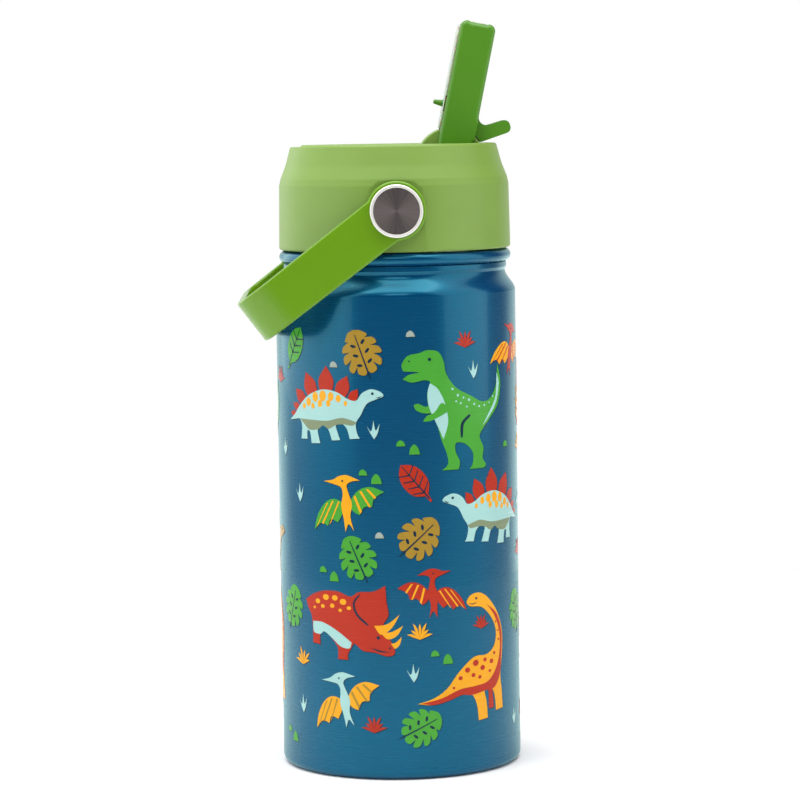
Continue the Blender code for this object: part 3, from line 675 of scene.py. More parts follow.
def makeThreadTree():
    # rolled ridges: a helix swept with a round section that fades at both ends, once for each start
    tree, graph, wires = geometryTree("threadRidges", {
        "Radius": "Float", "Bottom": "Float", "Lead": "Float", "Sweep": "Float", "First Angle": "Float",
        "Ridge": "Float", "Starts": "Int", "Finish": "Material",
    })
    line = graph.add("GeometryNodeCurvePrimitiveLine", {}, {"End": (1.0, 0.0, 0.0)})
    path = graph.add("GeometryNodeResampleCurve", {}, {"Curve": line, "Count": 64})
    along = graph.add("GeometryNodeSplineParameter", output="Factor")
    angle = along * wires["Sweep"]
    spot = graph.add("ShaderNodeCombineXYZ", {}, {
        "X": wires["Radius"] * graph.math("COSINE", angle),
        "Y": wires["Radius"] * graph.math("SINE", angle),
        "Z": wires["Bottom"] + wires["Lead"] * angle / (2 * math.pi),
    })
    helix = graph.add("GeometryNodeSetPosition", {}, {"Geometry": path, "Position": spot})
    toEnd = graph.math("MINIMUM", along, 1.0 - along)
    fade = graph.math("MINIMUM", 1.0, 0.35 + 6.5 * toEnd)
    sized = graph.add("GeometryNodeSetCurveRadius", {}, {"Curve": helix, "Radius": fade})
    section = graph.add("GeometryNodeCurvePrimitiveCircle", {}, {"Resolution": 16, "Radius": wires["Ridge"]})
    ridge = graph.add(
        "GeometryNodeCurveToMesh", {}, {"Curve": sized, "Profile Curve": section, "Fill Caps": True}
    )
    spots = graph.add("GeometryNodePoints", {}, {"Count": wires["Starts"]})
    index = graph.add("GeometryNodeInputIndex")
    turn = index * (2 * math.pi) / wires["Starts"] + wires["First Angle"]
    turned = graph.add("ShaderNodeCombineXYZ", {}, {"Z": turn})
    ridges = graph.add(
        "GeometryNodeInstanceOnPoints", {}, {"Points": spots, "Instance": ridge, "Rotation": turned}
    )
    closeTree(graph, ridges, wires["Finish"])
    return tree


threadTree = makeThreadTree()


def makeRidges(name, radius, bottom, sweep, first, finish):
    return grow(linked(name, bpy.data.meshes.new(name)), threadTree, {
        "Radius": radius * mm, "Bottom": bottom * mm, "Lead": threadLook["lead"] * mm,
        "Sweep": math.radians(sweep), "First Angle": math.radians(first), "Ridge": threadLook["ridge"] * mm,
        "Starts": threadLook["starts"], "Finish": finish,
    })


def makeNeck(look):
    outer, inner, bottom, top = look["neck"]
    tube = turnedRing("bottleNeck", [
        (outer, bottom), (outer, top, 0.15), (inner, top, 0.15), (inner, bottom),
    ], 192)
    ridges = makeRidges(
        "neckRidges", outer, threadLook["neckBottom"], threadLook["neckSweep"], 0.0, brushedSteel
    )
    finished(tube, brushedSteel, "bottle")
    finished(ridges, brushedSteel, "bottle")


linerLook = {
    "lip": (30.0, 169.7, 170.5), "neck": 28.4, "wall": 0.5, "radius": 33.0, "shoulder": (144.5, 153.0),
    "floor": 5.0, "corner": 6.0,
}


def makeLiner(look):
    lipRadius, lipLow, lipHigh = look["lip"]
    low, high = look["shoulder"]
    radius, corner, wall = look["radius"], look["corner"], look["wall"]
    outside = arc((lipRadius - 0.4, (lipLow + lipHigh) / 2), 0.4, 90, -90, 10)
    outside += filleted([
        (lipRadius - 0.6, lipLow), (look["neck"], lipLow, 0.4), (look["neck"], high)
    ], closed=False)[1:]
    outside += shoulderLine(high, low, look["neck"], radius, 20)[1:]
    outside += arc((radius - corner, look["floor"] + corner), corner, 0, -90, 14)
    outside += [(0.0, look["floor"])]
    inside = [(0.0, look["floor"] + wall)]
    inside += arc((radius - corner, look["floor"] + corner), corner - wall, -90, 0, 14)
    inside += [(r - wall, z) for r, z in reversed(shoulderLine(high, low, look["neck"], radius, 20))]
    inside += filleted([
        (look["neck"] - wall, high + 1), (look["neck"] - wall, lipHigh, 0.7), (lipRadius - 0.5, lipHigh)
    ], closed=False)
    profile = inMetres(outside + inside)
    turn = next(i for i, p in enumerate(profile) if p[0] < 1e-9)
    liner = lathe("bottleLiner", profile[turn + 1:] + profile[:turn + 1], 192)
    return finished(liner, brushedSteel, "bottle", ["inner_liner"])


def makeFoot():
    # the turned-in ring that the bottle stands on and the disc that hides the vacuum seal
    ring = turnedRing("footRing", [
        (32.9, 0.6, 0.2), (32.9, 0.0, 0.25), (25.6, 0.0, 0.3), (25.6, 1.3, 0.4), (4.5, 1.3), (4.5, 2.6),
        (1.0, 2.6), (1.0, 3.2), (5.1, 3.2), (5.1, 1.9), (26.2, 1.9, 0.3), (26.2, 0.6, 0.3),
    ], 192)
    finished(ring, baseSteel, "bottle", ["outer_bottom"])
    disc = turnedSolid("footDisc", [(24.0, 0.9), (25.3, 0.9, 0.2), (25.3, 0.0, 0.35), (20.0, 0.0)], 192)
    finished(disc, baseSteel, "bottle", ["base_cover"])


makeBottleShell(bottleLook)
makeNeck(bottleLook)
makeLiner(linerLook)
makeFoot()
for node, material in (("vacuum_seal", glassSolder), ("getter", getterMetal)):
    frame["nodes"][node].data.materials.clear()
    frame["nodes"][node].data.materials.append(material)
print("bottle made")


lidLook = {
    "top": 188.0, "bottom": 156.9, "topRadius": 31.1, "flat": 33.9, "bore": 32.9, "ceiling": 174.6,
    "recess": (-27.6, 24.8, 8.9, 176.2), "recessCorner": 1.2, "rim": 0.5, "relief": 0.5, "reliefHalf": 14.0,
    "dome": (10.4, 6.2), "boss": 4.0, "lip": 0.35,
}
# radii of the holes that the lid's parts share
pinHole = 1.5 * mm
sleeveHole = 5.3 * mm
ventHole = 2.9 * mm
spoutTilt = math.radians(11.8)
ventX = 0.2 * mm


def recessCutter(look):
    # a round-cornered well whose rim flares outwards at the top
    left, right, half, floor = look["recess"]
    rim, corner, top = look["rim"], look["recessCorner"], look["top"]
    levels = [(floor + 1 - math.sin(a), math.cos(a) - 1) for a in reversed(quarter(5))]
    levels += [(top - rim * (1 - math.sin(a)), rim * (1 - math.cos(a))) for a in quarter(6)]
    levels.append((top + 6.0, rim))
    bm = bmesh.new()
    rings = []
    for height, grown in levels:
        size = max(corner + grown, 0.2)
        outline = filleted([
            (left - grown, -half - grown, size), (right + grown, -half - grown, size),
            (right + grown, half + grown, size), (left - grown, half + grown, size),
        ])
        rings.append([bm.verts.new((x * mm, y * mm, height * mm)) for x, y in outline])
    return closedSkin("recessCutter", bm, rings)


def makeLidCover(look):
    top, bottom, topRadius = look["top"], look["bottom"], look["topRadius"]
    lip = bottom - look["lip"]
    side = filleted([
        (topRadius - 4, top), (topRadius, top, 0.9), (32.75, 181.9, 16.0), (34.3, 178.0, 3.0),
        (34.75, 176.0, 2.5), (35.05, 158.1), (35.05, lip, 1.1), (30.0, lip),
    ], 8, closed=False)
    cover = lathe("lidCover", inMetres([(0.0, top)] + side + [(0.0, bottom)]), 192)
    cavity = lathe("lidCavity", inMetres([
        (0.0, look["ceiling"]), (look["bore"] - 0.5, look["ceiling"]), (look["bore"], look["ceiling"] - 0.5),
        (look["bore"], bottom), (look["bore"] + 0.4, bottom - 0.36), (look["bore"] + 0.4, bottom - 5),
        (0.0, bottom - 5),
    ]), 128)
    carve(cover, cavity)
    flat = look["flat"]
    beyond = [(flat, 0), (60, 0), (60, 200), (flat + 3.4, 200), (flat, look["ceiling"])]
    for turn in (90, -90):
        cutter = slab("flatCutter", inMetres(beyond), 0.06)
        carve(cover, moved(cutter, Matrix.Rotation(math.radians(turn), 4, "Z")))
    left = look["recess"][0]
    relief = box(
        "reliefCutter", (-0.06, -look["reliefHalf"] * mm, (top - look["relief"]) * mm),
        ((left - 0.2) * mm, look["reliefHalf"] * mm, 0.3), 0.8 * mm, "Z",
    )
    carve(cover, relief, recessCutter(look))
    radius, half = look["dome"]
    dome = turnedSolid("dome", [
        (radius - 3, -half), (radius, -half, 0.5), (radius, half, 0.5), (radius - 3, half),
    ], 128)
    moved(dome, Matrix.Translation(hinge) @ Matrix.Rotation(math.pi / 2, 4, "X"))
    carve(dome, box("domeFoot", (-0.1, -0.1, 0.1), (0.1, 0.1, look["recess"][3] * mm - 0.6 * mm)))
    weld(cover, dome)
    for sign in (-1, 1):
        boss = rod("boss", look["boss"] * mm, (0.0, sign * 0.0334, pivot.z), (0.0, sign * 0.0376, pivot.z))
        weld(cover, boss)
        carve(
            cover, rod("pilot", pinHole, (0.0, sign * 0.0336, pivot.z), (0.0, sign * 0.05, pivot.z), 32),
            rod("pinHole", pinHole, (hinge.x, sign * 0.004, hinge.z), (hinge.x, sign * 0.012, hinge.z), 32),
        )
    tilt = Matrix.Rotation(spoutTilt, 3, "Y") @ Vector((0.0, 0.0, 1.0))
    carve(
        cover,
        rod("sleeveHole", sleeveHole, (hinge.x, 0.0, 0.15), (hinge.x, 0.0, 0.1795)),
        rod("drinkPort", 0.0022, hinge - tilt * 0.0052, hinge + tilt * 0.02),
        rod("ventHole", ventHole, (ventX, 0.0, 0.16), (ventX, 0.0, 0.19)),
    )
    return finished(cover, lidPlastic, "lid", ["lid_cover"], 30.0)


makeLidCover(lidLook)


def makeLidInsert():
    # the white threaded cup pressed into the lid
    cup = turnedSolid("lidInsert", [
        (20.0, 174.3), (32.5, 174.3, 0.5), (32.5, 158.0, 0.4), (31.4, 158.0, 0.4), (31.4, 172.8, 0.6),
        (20.0, 172.8),
    ], 160)
    carve(
        cup, rod("ventHole", ventHole, (ventX, 0.0, 0.16), (ventX, 0.0, 0.19)),
        rod("sleeveHole", sleeveHole, (hinge.x, 0.0, 0.16), (hinge.x, 0.0, 0.19)),
    )
    finished(cup, whitePlastic, "lid", ["lid_inner"])
    look = threadLook
    bottom = look["neckBottom"] - look["lidDrop"] + look["lead"] * look["lidLag"] / 360
    ridges = makeRidges("lidRidges", look["lidBore"], bottom, look["lidSweep"], look["lidLag"], whitePlastic)
    finished(ridges, whitePlastic, "lid")


# each soft ring: its outline, its smoothness, where its axis stands, its body and the solid it replaces
softRings = {
    "lidSeal": ([(31.0, 170.8, 0.5), (31.0, 172.5, 0.5), (27.6, 172.5, 0.5), (27.6, 170.8, 0.5)],
                128, 0.0, "gasket", "lid_gasket"),
    "ventValve": ([(2.6, 175.9, 0.25), (2.6, 172.5), (3.9, 172.5, 0.3), (3.9, 170.9, 0.3), (1.9, 170.9, 0.2),
                   (1.9, 175.9, 0.25)], 48, ventX, "lid", "vent_valve"),
    "strawSleeve": ([(5.0, 179.2, 0.3), (5.0, 172.5), (6.8, 172.5, 0.4), (6.8, 170.9, 0.4), (3.8, 170.9, 0.3),
                     (3.8, 179.2, 0.3)], 64, hinge.x, "lid", "straw_sleeve"),
}


def makeSoftRings():
    for name, (outline, steps, x, body, node) in softRings.items():
        ring = moved(turnedRing(name, outline, steps), Matrix.Translation((x, 0.0, 0.0)))
        finished(ring, silicone, body, [node])


def makeStraw():
    # its foot is notched, so that it never closes against the floor
    straw = turnedRing("drinkingStraw", [(3.5, 178.5, 0.3), (3.5, 12.0), (2.6, 12.0), (2.6, 178.5, 0.3)], 64)
    notch = slab("notch", inMetres([(-2.5, 11.0), (2.5, 11.0), (0.0, 17.0)]), 0.01)
    carve(straw, notch)
    moved(straw, Matrix.Translation((hinge.x, 0.0, 0.0)))
    finished(straw, strawPlastic, "lid", ["straw"])


makeLidInsert()
makeSoftRings()
makeStraw()
print("lid made")


capLook = {"radius": 7.8, "disc": 6.85, "low": 37.8, "top": 39.6, "sunk": 0.15}


def makePivot(side):
    # washer, screw and pressed cap on one side; they are turned about Z and then laid along Y
    turn = math.pi / 2 if side == "front" else -math.pi / 2
    lay = Matrix.Translation(pivot) @ Matrix.Rotation(turn, 4, "X")
    disc, radius, low, top = (capLook[key] for key in ("disc", "radius", "low", "top"))
    plateTop = top - capLook["sunk"]
    washer = turnedRing("pivotWasher_" + side, [
        (7.5, 34.2, 0.15), (7.5, 34.8, 0.15), (4.3, 34.8), (4.3, 34.2),
    ], 64)
    finished(moved(washer, lay), whitePlastic, "lid", ["pivot_washer_" + side])
    screw = turnedSolid("pivotScrew_" + side, [
        (2.0, 38.6), (3.6, 38.6, 0.6), (3.6, 37.9), (1.2, 37.9, 0.2), (1.2, 33.9),
    ], 48)
    finished(moved(screw, lay), capRimSteel, "lid", ["pivot_screw_" + side])
    rim = turnedRing("pivotRim_" + side, [
        (disc, top - 0.5), (disc, top, 0.18), (radius, top, 0.4), (radius, low, 0.1), (radius - 0.4, low),
        (radius - 0.4, top - 0.6),
    ], 96)
    finished(moved(rim, lay), capRimSteel, "lid", ["pivot_cap_" + side])
    plate = lathe("pivotDisc_" + side, inMetres([
        (0.0, plateTop + 0.05), (2.0, plateTop + 0.04), (4.5, plateTop + 0.02), (disc - 0.03, plateTop),
        (disc - 0.03, top - 0.45), (0.0, top - 0.45),
    ]), 96)
    finished(moved(plate, lay), capDiscSteel, "lid")


handleLook = {
    "inside": 35.1, "thickness": 2.4, "length": 54.2, "corner": 9.5, "halfEye": 7.35, "halfEnd": 7.0,
    "eye": 8.8, "hole": 4.3, "edge": 0.75, "hang": 37.1,
}


def makeHandle(look):
    # the strap is shaped flat, with its round eyes, and then bent round its two corners
    middle = look["thickness"] / 2
    bend = look["corner"] + middle
    sideLength = look["length"] - look["thickness"] - look["corner"]
    bendLength = bend * math.pi / 2
    halfBar = look["inside"] - look["corner"]
    total = sideLength + bendLength + halfBar
    meet = math.degrees(math.asin(look["halfEye"] / look["eye"]))
    reach = total - look["eye"] * math.cos(math.radians(meet))

    def halfWidth(s):
        along = min(1.0, max(0.0, (abs(s) - halfBar - bendLength) / sideLength))
        return look["halfEnd"] + (look["halfEye"] - look["halfEnd"]) * along

    stations = [reach * (1 - i / 20) for i in range(1, 40)]
    outline = arc((total, 0.0), look["eye"], meet - 180, 180 - meet, 40)
    outline += [(s, halfWidth(s)) for s in stations]
    outline += arc((-total, 0.0), look["eye"], meet, 360 - meet, 40)
    outline += [(-s, -halfWidth(s)) for s in stations]
    strap = slab("strapHandle", inMetres(outline), middle * mm, look["edge"] * mm, 6)
    for sign in (-1, 1):
        x = sign * total * mm
        carve(strap, rod("eyeHole", look["hole"] * mm, (x, -0.01, 0.0), (x, 0.01, 0.0)))
    bm = bmesh.new()
    bm.from_mesh(strap.data)
    for sign in (-1, 1):
        for i in range(29):
            s = sign * (halfBar + bendLength * i / 28) * mm
            sliceAt(bm, s)
    turnX = -sideLength
    for vertex in bm.verts:
        s, n, w = (c / mm for c in vertex.co)
        sign = 1 if s >= 0 else -1
        a = abs(s)
        if a <= halfBar:
            x, y = turnX - bend - n, s
        elif a <= halfBar + bendLength:
            turn = (a - halfBar) / bend
            x, y = turnX - (bend + n) * math.cos(turn), sign * (halfBar + (bend + n) * math.sin(turn))
        else:
            x, y = turnX + a - halfBar - bendLength, sign * (halfBar + bend + n)
        vertex.co = (x * mm, y * mm, w * mm)
    bmesh.ops.recalc_face_normals(bm, faces=bm.faces)
    bm.to_mesh(strap.data)
    bm.free()
    moved(strap, Matrix.Translation(pivot) @ Matrix.Rotation(-math.radians(look["hang"]), 4, "Y"))
    return finished(strap, handlePlastic, "handle", ["handle"])


for side in ("front", "back"):
    makePivot(side)
makeHandle(handleLook)
print("handle made")


spoutLook = {
    "length": 42.6, "back": 5.6, "front": 5.0, "half": 8.5, "wall": 1.6, "tip": 2.1, "edge": 1.3,
    "cheek": 6.5, "dome": 10.7, "nozzle": 2.9, "bore": 2.2, "axis": 0.4, "plug": 16.9, "plugLength": 2.9,
    "face": 5.6, "tabSlope": 27.8, "tabThick": 1.95, "tabHalf": 6.0, "tabEnd": (15.4, 14.3), "lip": 0.35,
}
spoutFrame = Matrix.Translation(hinge) @ Matrix.Rotation(spoutTilt, 4, "Y")


def hoodOutline(look):
    # the spout from the side: round foot, thumb lever at the back, two raised lips at the tip
    back, front, length, tip = look["back"], look["front"], look["length"], look["tip"]
    slope = math.radians(look["tabSlope"])
    along = Vector((math.cos(slope), math.sin(slope)))
    across = Vector((-along.y, along.x)) * look["tabThick"]
    end = Vector(look["tabEnd"])
    low, high = end - across, end + across
    root = high - along * ((high.x - back) / along.x)
    made = arc((0.0, 0.0), front, 180, 322, 18)
    made += filleted([
        (back - 0.9, -1.2), (back, 2.2, 4.0), (back, 7.05, 0.3), (7.9, 7.65, 1.5), (*low, 1.7),
        (*high, 1.7), (*root, 2.3), (back, 20.0),
    ], closed=False)[1:]
    made += [(back, 30.0)]
    made += arc((back - tip, length - tip), tip, 0, 80, 8)
    lip = look["lip"]
    made += filleted([
        (back - tip - 0.1, length - 0.03), (back - tip - 0.7, length - lip, 0.8),
        (tip - front + 0.7, length - lip, 0.8), (tip - front + 0.1, length - 0.03),
    ], closed=False)
    made += arc((tip - front, length - tip), tip, 100, 180, 8)
    return made + [(-front, 30.0), (-front, 20.0), (-front, 10.0)]


def makeSpoutHood(look):
    half, cheek = look["half"], look["cheek"]
    length, back, front, wall = look["length"], look["back"], look["front"], look["wall"]
    hood = slab("spoutHood", anticlockwise(inMetres(hoodOutline(look))), half * mm, look["edge"] * mm, 6)
    channel = box(
        "channel", (-0.06, -cheek * mm, -0.06), ((back - wall) * mm, cheek * mm, (length - wall) * mm),
        1.2 * mm, "X",
    )
    sweep = rod("domeSweep", look["dome"] * mm, (0.0, -cheek * mm, 0.0), (0.0, cheek * mm, 0.0), 96)
    mouth = rod(
        "mouth", (look["nozzle"] + 0.3) * mm, (look["axis"] * mm, 0.0, (length - 4) * mm),
        (look["axis"] * mm, 0.0, (length + 4) * mm),
    )
    carve(hood, channel, sweep, mouth)
    for side in (-1, 1):
        # the lever is narrower than the hood
        near, far = sorted((side * look["tabHalf"] * mm, side * 0.012))
        carve(hood, box("besideLever", ((back + 0.05) * mm, near, -0.004), (0.025, far, 0.03)))
    bridge = box(
        "bridge", (-front * mm, (-cheek - 0.5) * mm, (look["plug"] - 2.2) * mm),
        ((1.2 - front) * mm, (cheek + 0.5) * mm, (look["plug"] + 2.2) * mm), 0.4 * mm, "Y",
    )
    tipX = look["face"] + look["plugLength"]
    plug = turnedSolid("plug", [
        (0.1, tipX), (0.6, tipX, 0.3), (1.15, front - 0.1, 0.4), (2.0, front - 0.5), (0.1, front - 0.7),
    ], 32)
    moved(plug, Matrix.Translation((0.0, 0.0, look["plug"] * mm)) @ Matrix.Rotation(-math.pi / 2, 4, "Y"))
    weld(hood, bridge, plug)
    carve(hood, rod("hingeHole", pinHole, (0.0, -0.02, 0.0), (0.0, 0.02, 0.0), 32))
    moved(hood, spoutFrame)
    return finished(hood, spoutPlastic, "spout", ["spout_hood"])


def makeMouthpiece(look):
    cheek, front, back = look["cheek"], look["front"], look["back"]
    tip = look["length"] - look["wall"] - 0.3
    core = box(
        "siliconeInsert", ((-front - 0.5) * mm, (0.3 - cheek) * mm, 6 * mm),
        ((back - look["wall"] - 0.3) * mm, (cheek - 0.3) * mm, tip * mm), 1.0 * mm, "X",
    )
    edge = look["half"] - 1.3
    face = box(
        "face", (-look["face"] * mm, -edge * mm, 9.5 * mm), ((-front + 0.05) * mm, edge * mm, 39.8 * mm),
        2.4 * mm, "X", 0.25 * mm,
    )
    axis = look["axis"] * mm
    radius, top = look["nozzle"], look["length"] + 0.1
    nozzle = turnedSolid("nozzle", [(radius, tip - 3), (radius, top, 0.4), (0.1, top)], 48)
    moved(nozzle, Matrix.Translation((axis, 0.0, 0.0)))
    weld(core, face, nozzle)
    foot = rod("footSweep", look["dome"] * mm + 0.00005, (0.0, -0.02, 0.0), (0.0, 0.02, 0.0), 96)
    slot = box(
        "slot", ((-front - 0.35) * mm, -0.02, (look["plug"] - 2.5) * mm),
        ((1.5 - front) * mm, 0.02, (look["plug"] + 2.5) * mm), 0.3 * mm, "Y",
    )
    bore = rod("bore", look["bore"] * mm, (axis, 0.0, 0.0), (axis, 0.0, 0.06))
    level = look["plug"] * mm
    plugHole = rod("plugHole", pinHole, (-0.01, 0.0, level), (-0.0036, 0.0, level), 32)
    carve(core, foot, slot, bore, plugHole)
    moved(core, spoutFrame)
    return finished(core, silicone, "spout", ["mouthpiece"])


def makePins():
    for side, sign in (("front", -1), ("back", 1)):
        pin = turnedSolid("hingePin_" + side, [(1.2, 4.3), (1.2, 10.0)], 48)
        lay = Matrix.Translation(hinge) @ Matrix.Rotation(-sign * math.pi / 2, 4, "X")
        finished(moved(pin, lay), capRimSteel, "lid", ["spout_pin_" + side])


makeSpoutHood(spoutLook)
makeMouthpiece(spoutLook)
makePins()
print("spout made")


# the print's layer step, depth under the wall and slice width in metres, and the painted shadow's offset in
# millimetres
printLook = {"step": 0.000022, "under": 0.00004, "slice": 0.0014, "shadow": (0.24, -0.22)}
inkColors = {
    "pale": "9fcac6", "red": "ad2d19", "yellow": "e6a01c", "green": "469a33", "gold": "9f7f2c",
    "moss": "7d8a6c", "stone": "9aa49a", "dark": "06283c",
}
# the shapes drawn in each ink, as (level, outline)
inks = {ink: [] for ink in inkColors}


def oval(x, y, wide, tall=None, turn=0.0):
    tall = tall or wide
    c, s = math.cos(math.radians(turn)), math.sin(math.radians(turn))
    circle = arc((0, 0), 1, 0, 330, 11)
    return [(x + wide * a * c - tall * b * s, y + wide * a * s + tall * b * c) for a, b in circle]


def dots(ink, places, wide=1.0, tall=1.0):
    return [(ink, 4, oval(x, y, r * wide, r * tall)) for x, y, r in places]


def fin(x, y, lean, tall, wide=0.36):
    # a pointed back plate standing at x, y
    c, s = math.cos(math.radians(lean)), math.sin(math.radians(lean))
    points = [(-wide * 0.8, -0.1, 1), (-wide, 0.45), (0.0, 1.0, 1), (wide, 0.45), (wide * 0.8, -0.1, 1)]
    return smoothed([
        (x + tall * (a * c + b * s), y + tall * (b * c - a * s), *sharp) for a, b, *sharp in points
    ], 4)


def plated(skin, plates, spots, belly):
    # a four-legged walker with a row of back plates, facing +u
    body = smoothed([
        (-17.2, -4.6, 1), (-14.2, -2.6), (-11.2, 0.4), (-7.2, 3.4), (-1.8, 5.2), (3.2, 4.6), (7.0, 2.6),
        (9.6, 2.2), (11.4, 4.4), (14.2, 5.6), (17.0, 4.8), (17.8, 3.5), (15.4, 2.5), (12.8, 1.2),
        (11.0, -2.0), (9.4, -4.6), (9.8, -7.6), (10.6, -9.0, 1), (7.4, -9.2, 1), (6.6, -6.4), (5.0, -4.8),
        (2.9, -5.2), (3.5, -7.6), (4.3, -9.6, 1), (1.4, -9.8, 1), (0.2, -6.6), (-2.0, -5.4), (-3.8, -6.6),
        (-3.4, -9.2), (-2.9, -10.8, 1), (-6.4, -11.0, 1), (-7.0, -7.6), (-8.2, -7.4), (-8.2, -9.8, 1),
        (-11.0, -9.9, 1), (-10.6, -6.2), (-11.6, -4.0), (-14.2, -4.2),
    ])
    row = [(-14.2, -2.6, -85, 2.4), (-12.2, -0.8, -66, 3.2), (-9.8, 1.6, -48, 5.0), (-5.8, 3.9, -24, 6.8),
           (-0.6, 4.9, 2, 7.4), (4.4, 4.0, 24, 6.0), (8.0, 2.5, 34, 3.8)]
    shapes = [(plates, 2, fin(*place)) for place in row] + [(skin, 3, body)]
    shapes += [(belly, 4, smoothed([
        (9.6, -4.2, 1), (5.0, -3.0), (0.0, -4.0), (-6.0, -4.0), (-11.4, -3.9, 1), (-9.0, -5.8),
        (-7.0, -7.0), (-3.6, -6.6), (-1.8, -5.5), (0.4, -6.4), (2.8, -5.2), (5.2, -4.9), (8.4, -5.2),
    ]))]
    shapes += dots(spots, [
        (-7.4, 1.3, 0.85), (-4.6, 2.9, 1.0), (-5.6, 0.2, 0.6), (-1.7, 3.3, 1.1), (-2.8, 1.0, 0.75),
        (1.2, 3.2, 0.9), (0.3, 1.2, 0.7), (3.8, 2.7, 0.75), (6.2, 1.3, 0.5), (-9.4, 0.0, 0.6),
    ], 1.15, 1.5)
    mouth = smoothed([(15.6, 3.2, 1), (16.6, 3.3), (17.5, 3.8, 1), (16.6, 3.0)])
    return shapes + [("dark", 5, oval(14.6, 4.3, 0.4)), ("dark", 5, mouth)]


def walker(skin, belly, spots):
    # a big two-legged hunter facing -u with its tail raised behind
    body = smoothed([
        (-17.4, 14.0), (-15.6, 16.6), (-12.0, 17.4), (-9.6, 18.2), (-6.2, 17.6), (-4.4, 14.6),
        (-3.6, 10.8), (-0.4, 6.6), (4.6, 4.0), (9.4, 1.8), (13.2, 2.6), (16.2, 6.6), (17.0, 12.8, 1),
        (18.6, 7.0), (17.0, 0.6), (12.8, -3.6), (9.8, -6.4), (8.2, -8.8), (9.8, -12.2), (9.4, -15.4),
        (10.8, -17.4), (10.0, -18.4, 1), (4.2, -18.4, 1), (5.4, -16.6), (5.4, -13.4), (2.6, -10.6),
        (-0.6, -10.2), (-0.8, -12.8), (0.6, -15.8), (0.2, -18.2, 1), (-5.4, -18.2, 1), (-3.4, -16.4),
        (-3.8, -13.2), (-5.4, -9.2), (-6.8, -4.4), (-9.2, 0.6), (-9.8, 5.0), (-8.8, 8.4), (-10.6, 9.2),
        (-14.4, 8.6), (-17.2, 9.6, 1), (-15.4, 10.9), (-12.2, 11.6), (-17.0, 12.0, 1),
    ])
    front = smoothed([
        (-8.9, 8.2, 1), (-6.4, 6.4), (-4.2, 2.0), (-3.2, -3.6), (-4.8, -8.8, 1), (-6.8, -4.4),
        (-9.1, 0.6), (-9.7, 5.0),
    ])
    arms = [smoothed([(-8.2, 1.8), (-10.4, 1.2), (-12.6, 2.2), (-14.0, 1.8, 1), (-13.2, 0.2), (-10.6, -0.8),
                      (-7.4, -0.4)], 4),
            smoothed([(-5.2, 2.2), (-7.6, -0.6), (-10.0, -1.6), (-11.2, -3.2, 1), (-9.2, -3.2), (-6.6, -2.2),
                      (-3.2, -0.2)], 4)]
    shapes = [(skin, 2, arms[0]), (skin, 3, body), (belly, 4, front), (skin, 5, arms[1])]
    shapes += [(belly, 4, smoothed([
        (16.6, 10.0, 1), (17.6, 6.6), (16.0, 1.0), (12.0, -3.4), (9.4, -5.6, 1), (12.6, -1.6), (15.8, 3.0),
    ]))]
    shapes += dots(spots, [
        (0.2, 4.2, 0.4), (2.2, 3.4, 0.32), (4.2, 2.6, 0.42), (1.2, 1.8, 0.32), (6.2, 1.2, 0.36),
        (3.4, 0.6, 0.3), (8.2, 0.4, 0.34), (-1.6, 6.2, 0.36), (10.4, 0.6, 0.34), (12.6, 1.2, 0.3),
        (14.4, 3.0, 0.3), (-0.4, 2.4, 0.3),
    ])
    leg = smoothed([(4.6, -2.4), (2.2, -4.6), (1.8, -8.2), (1.1, -8.4), (1.2, -4.4), (4.0, -1.9)], 4)
    eye, nostril = oval(-8.9, 15.4, 0.5), oval(-15.2, 15.0, 0.26)
    return shapes + [("dark", 4, leg), ("dark", 5, eye), ("dark", 5, nostril)]


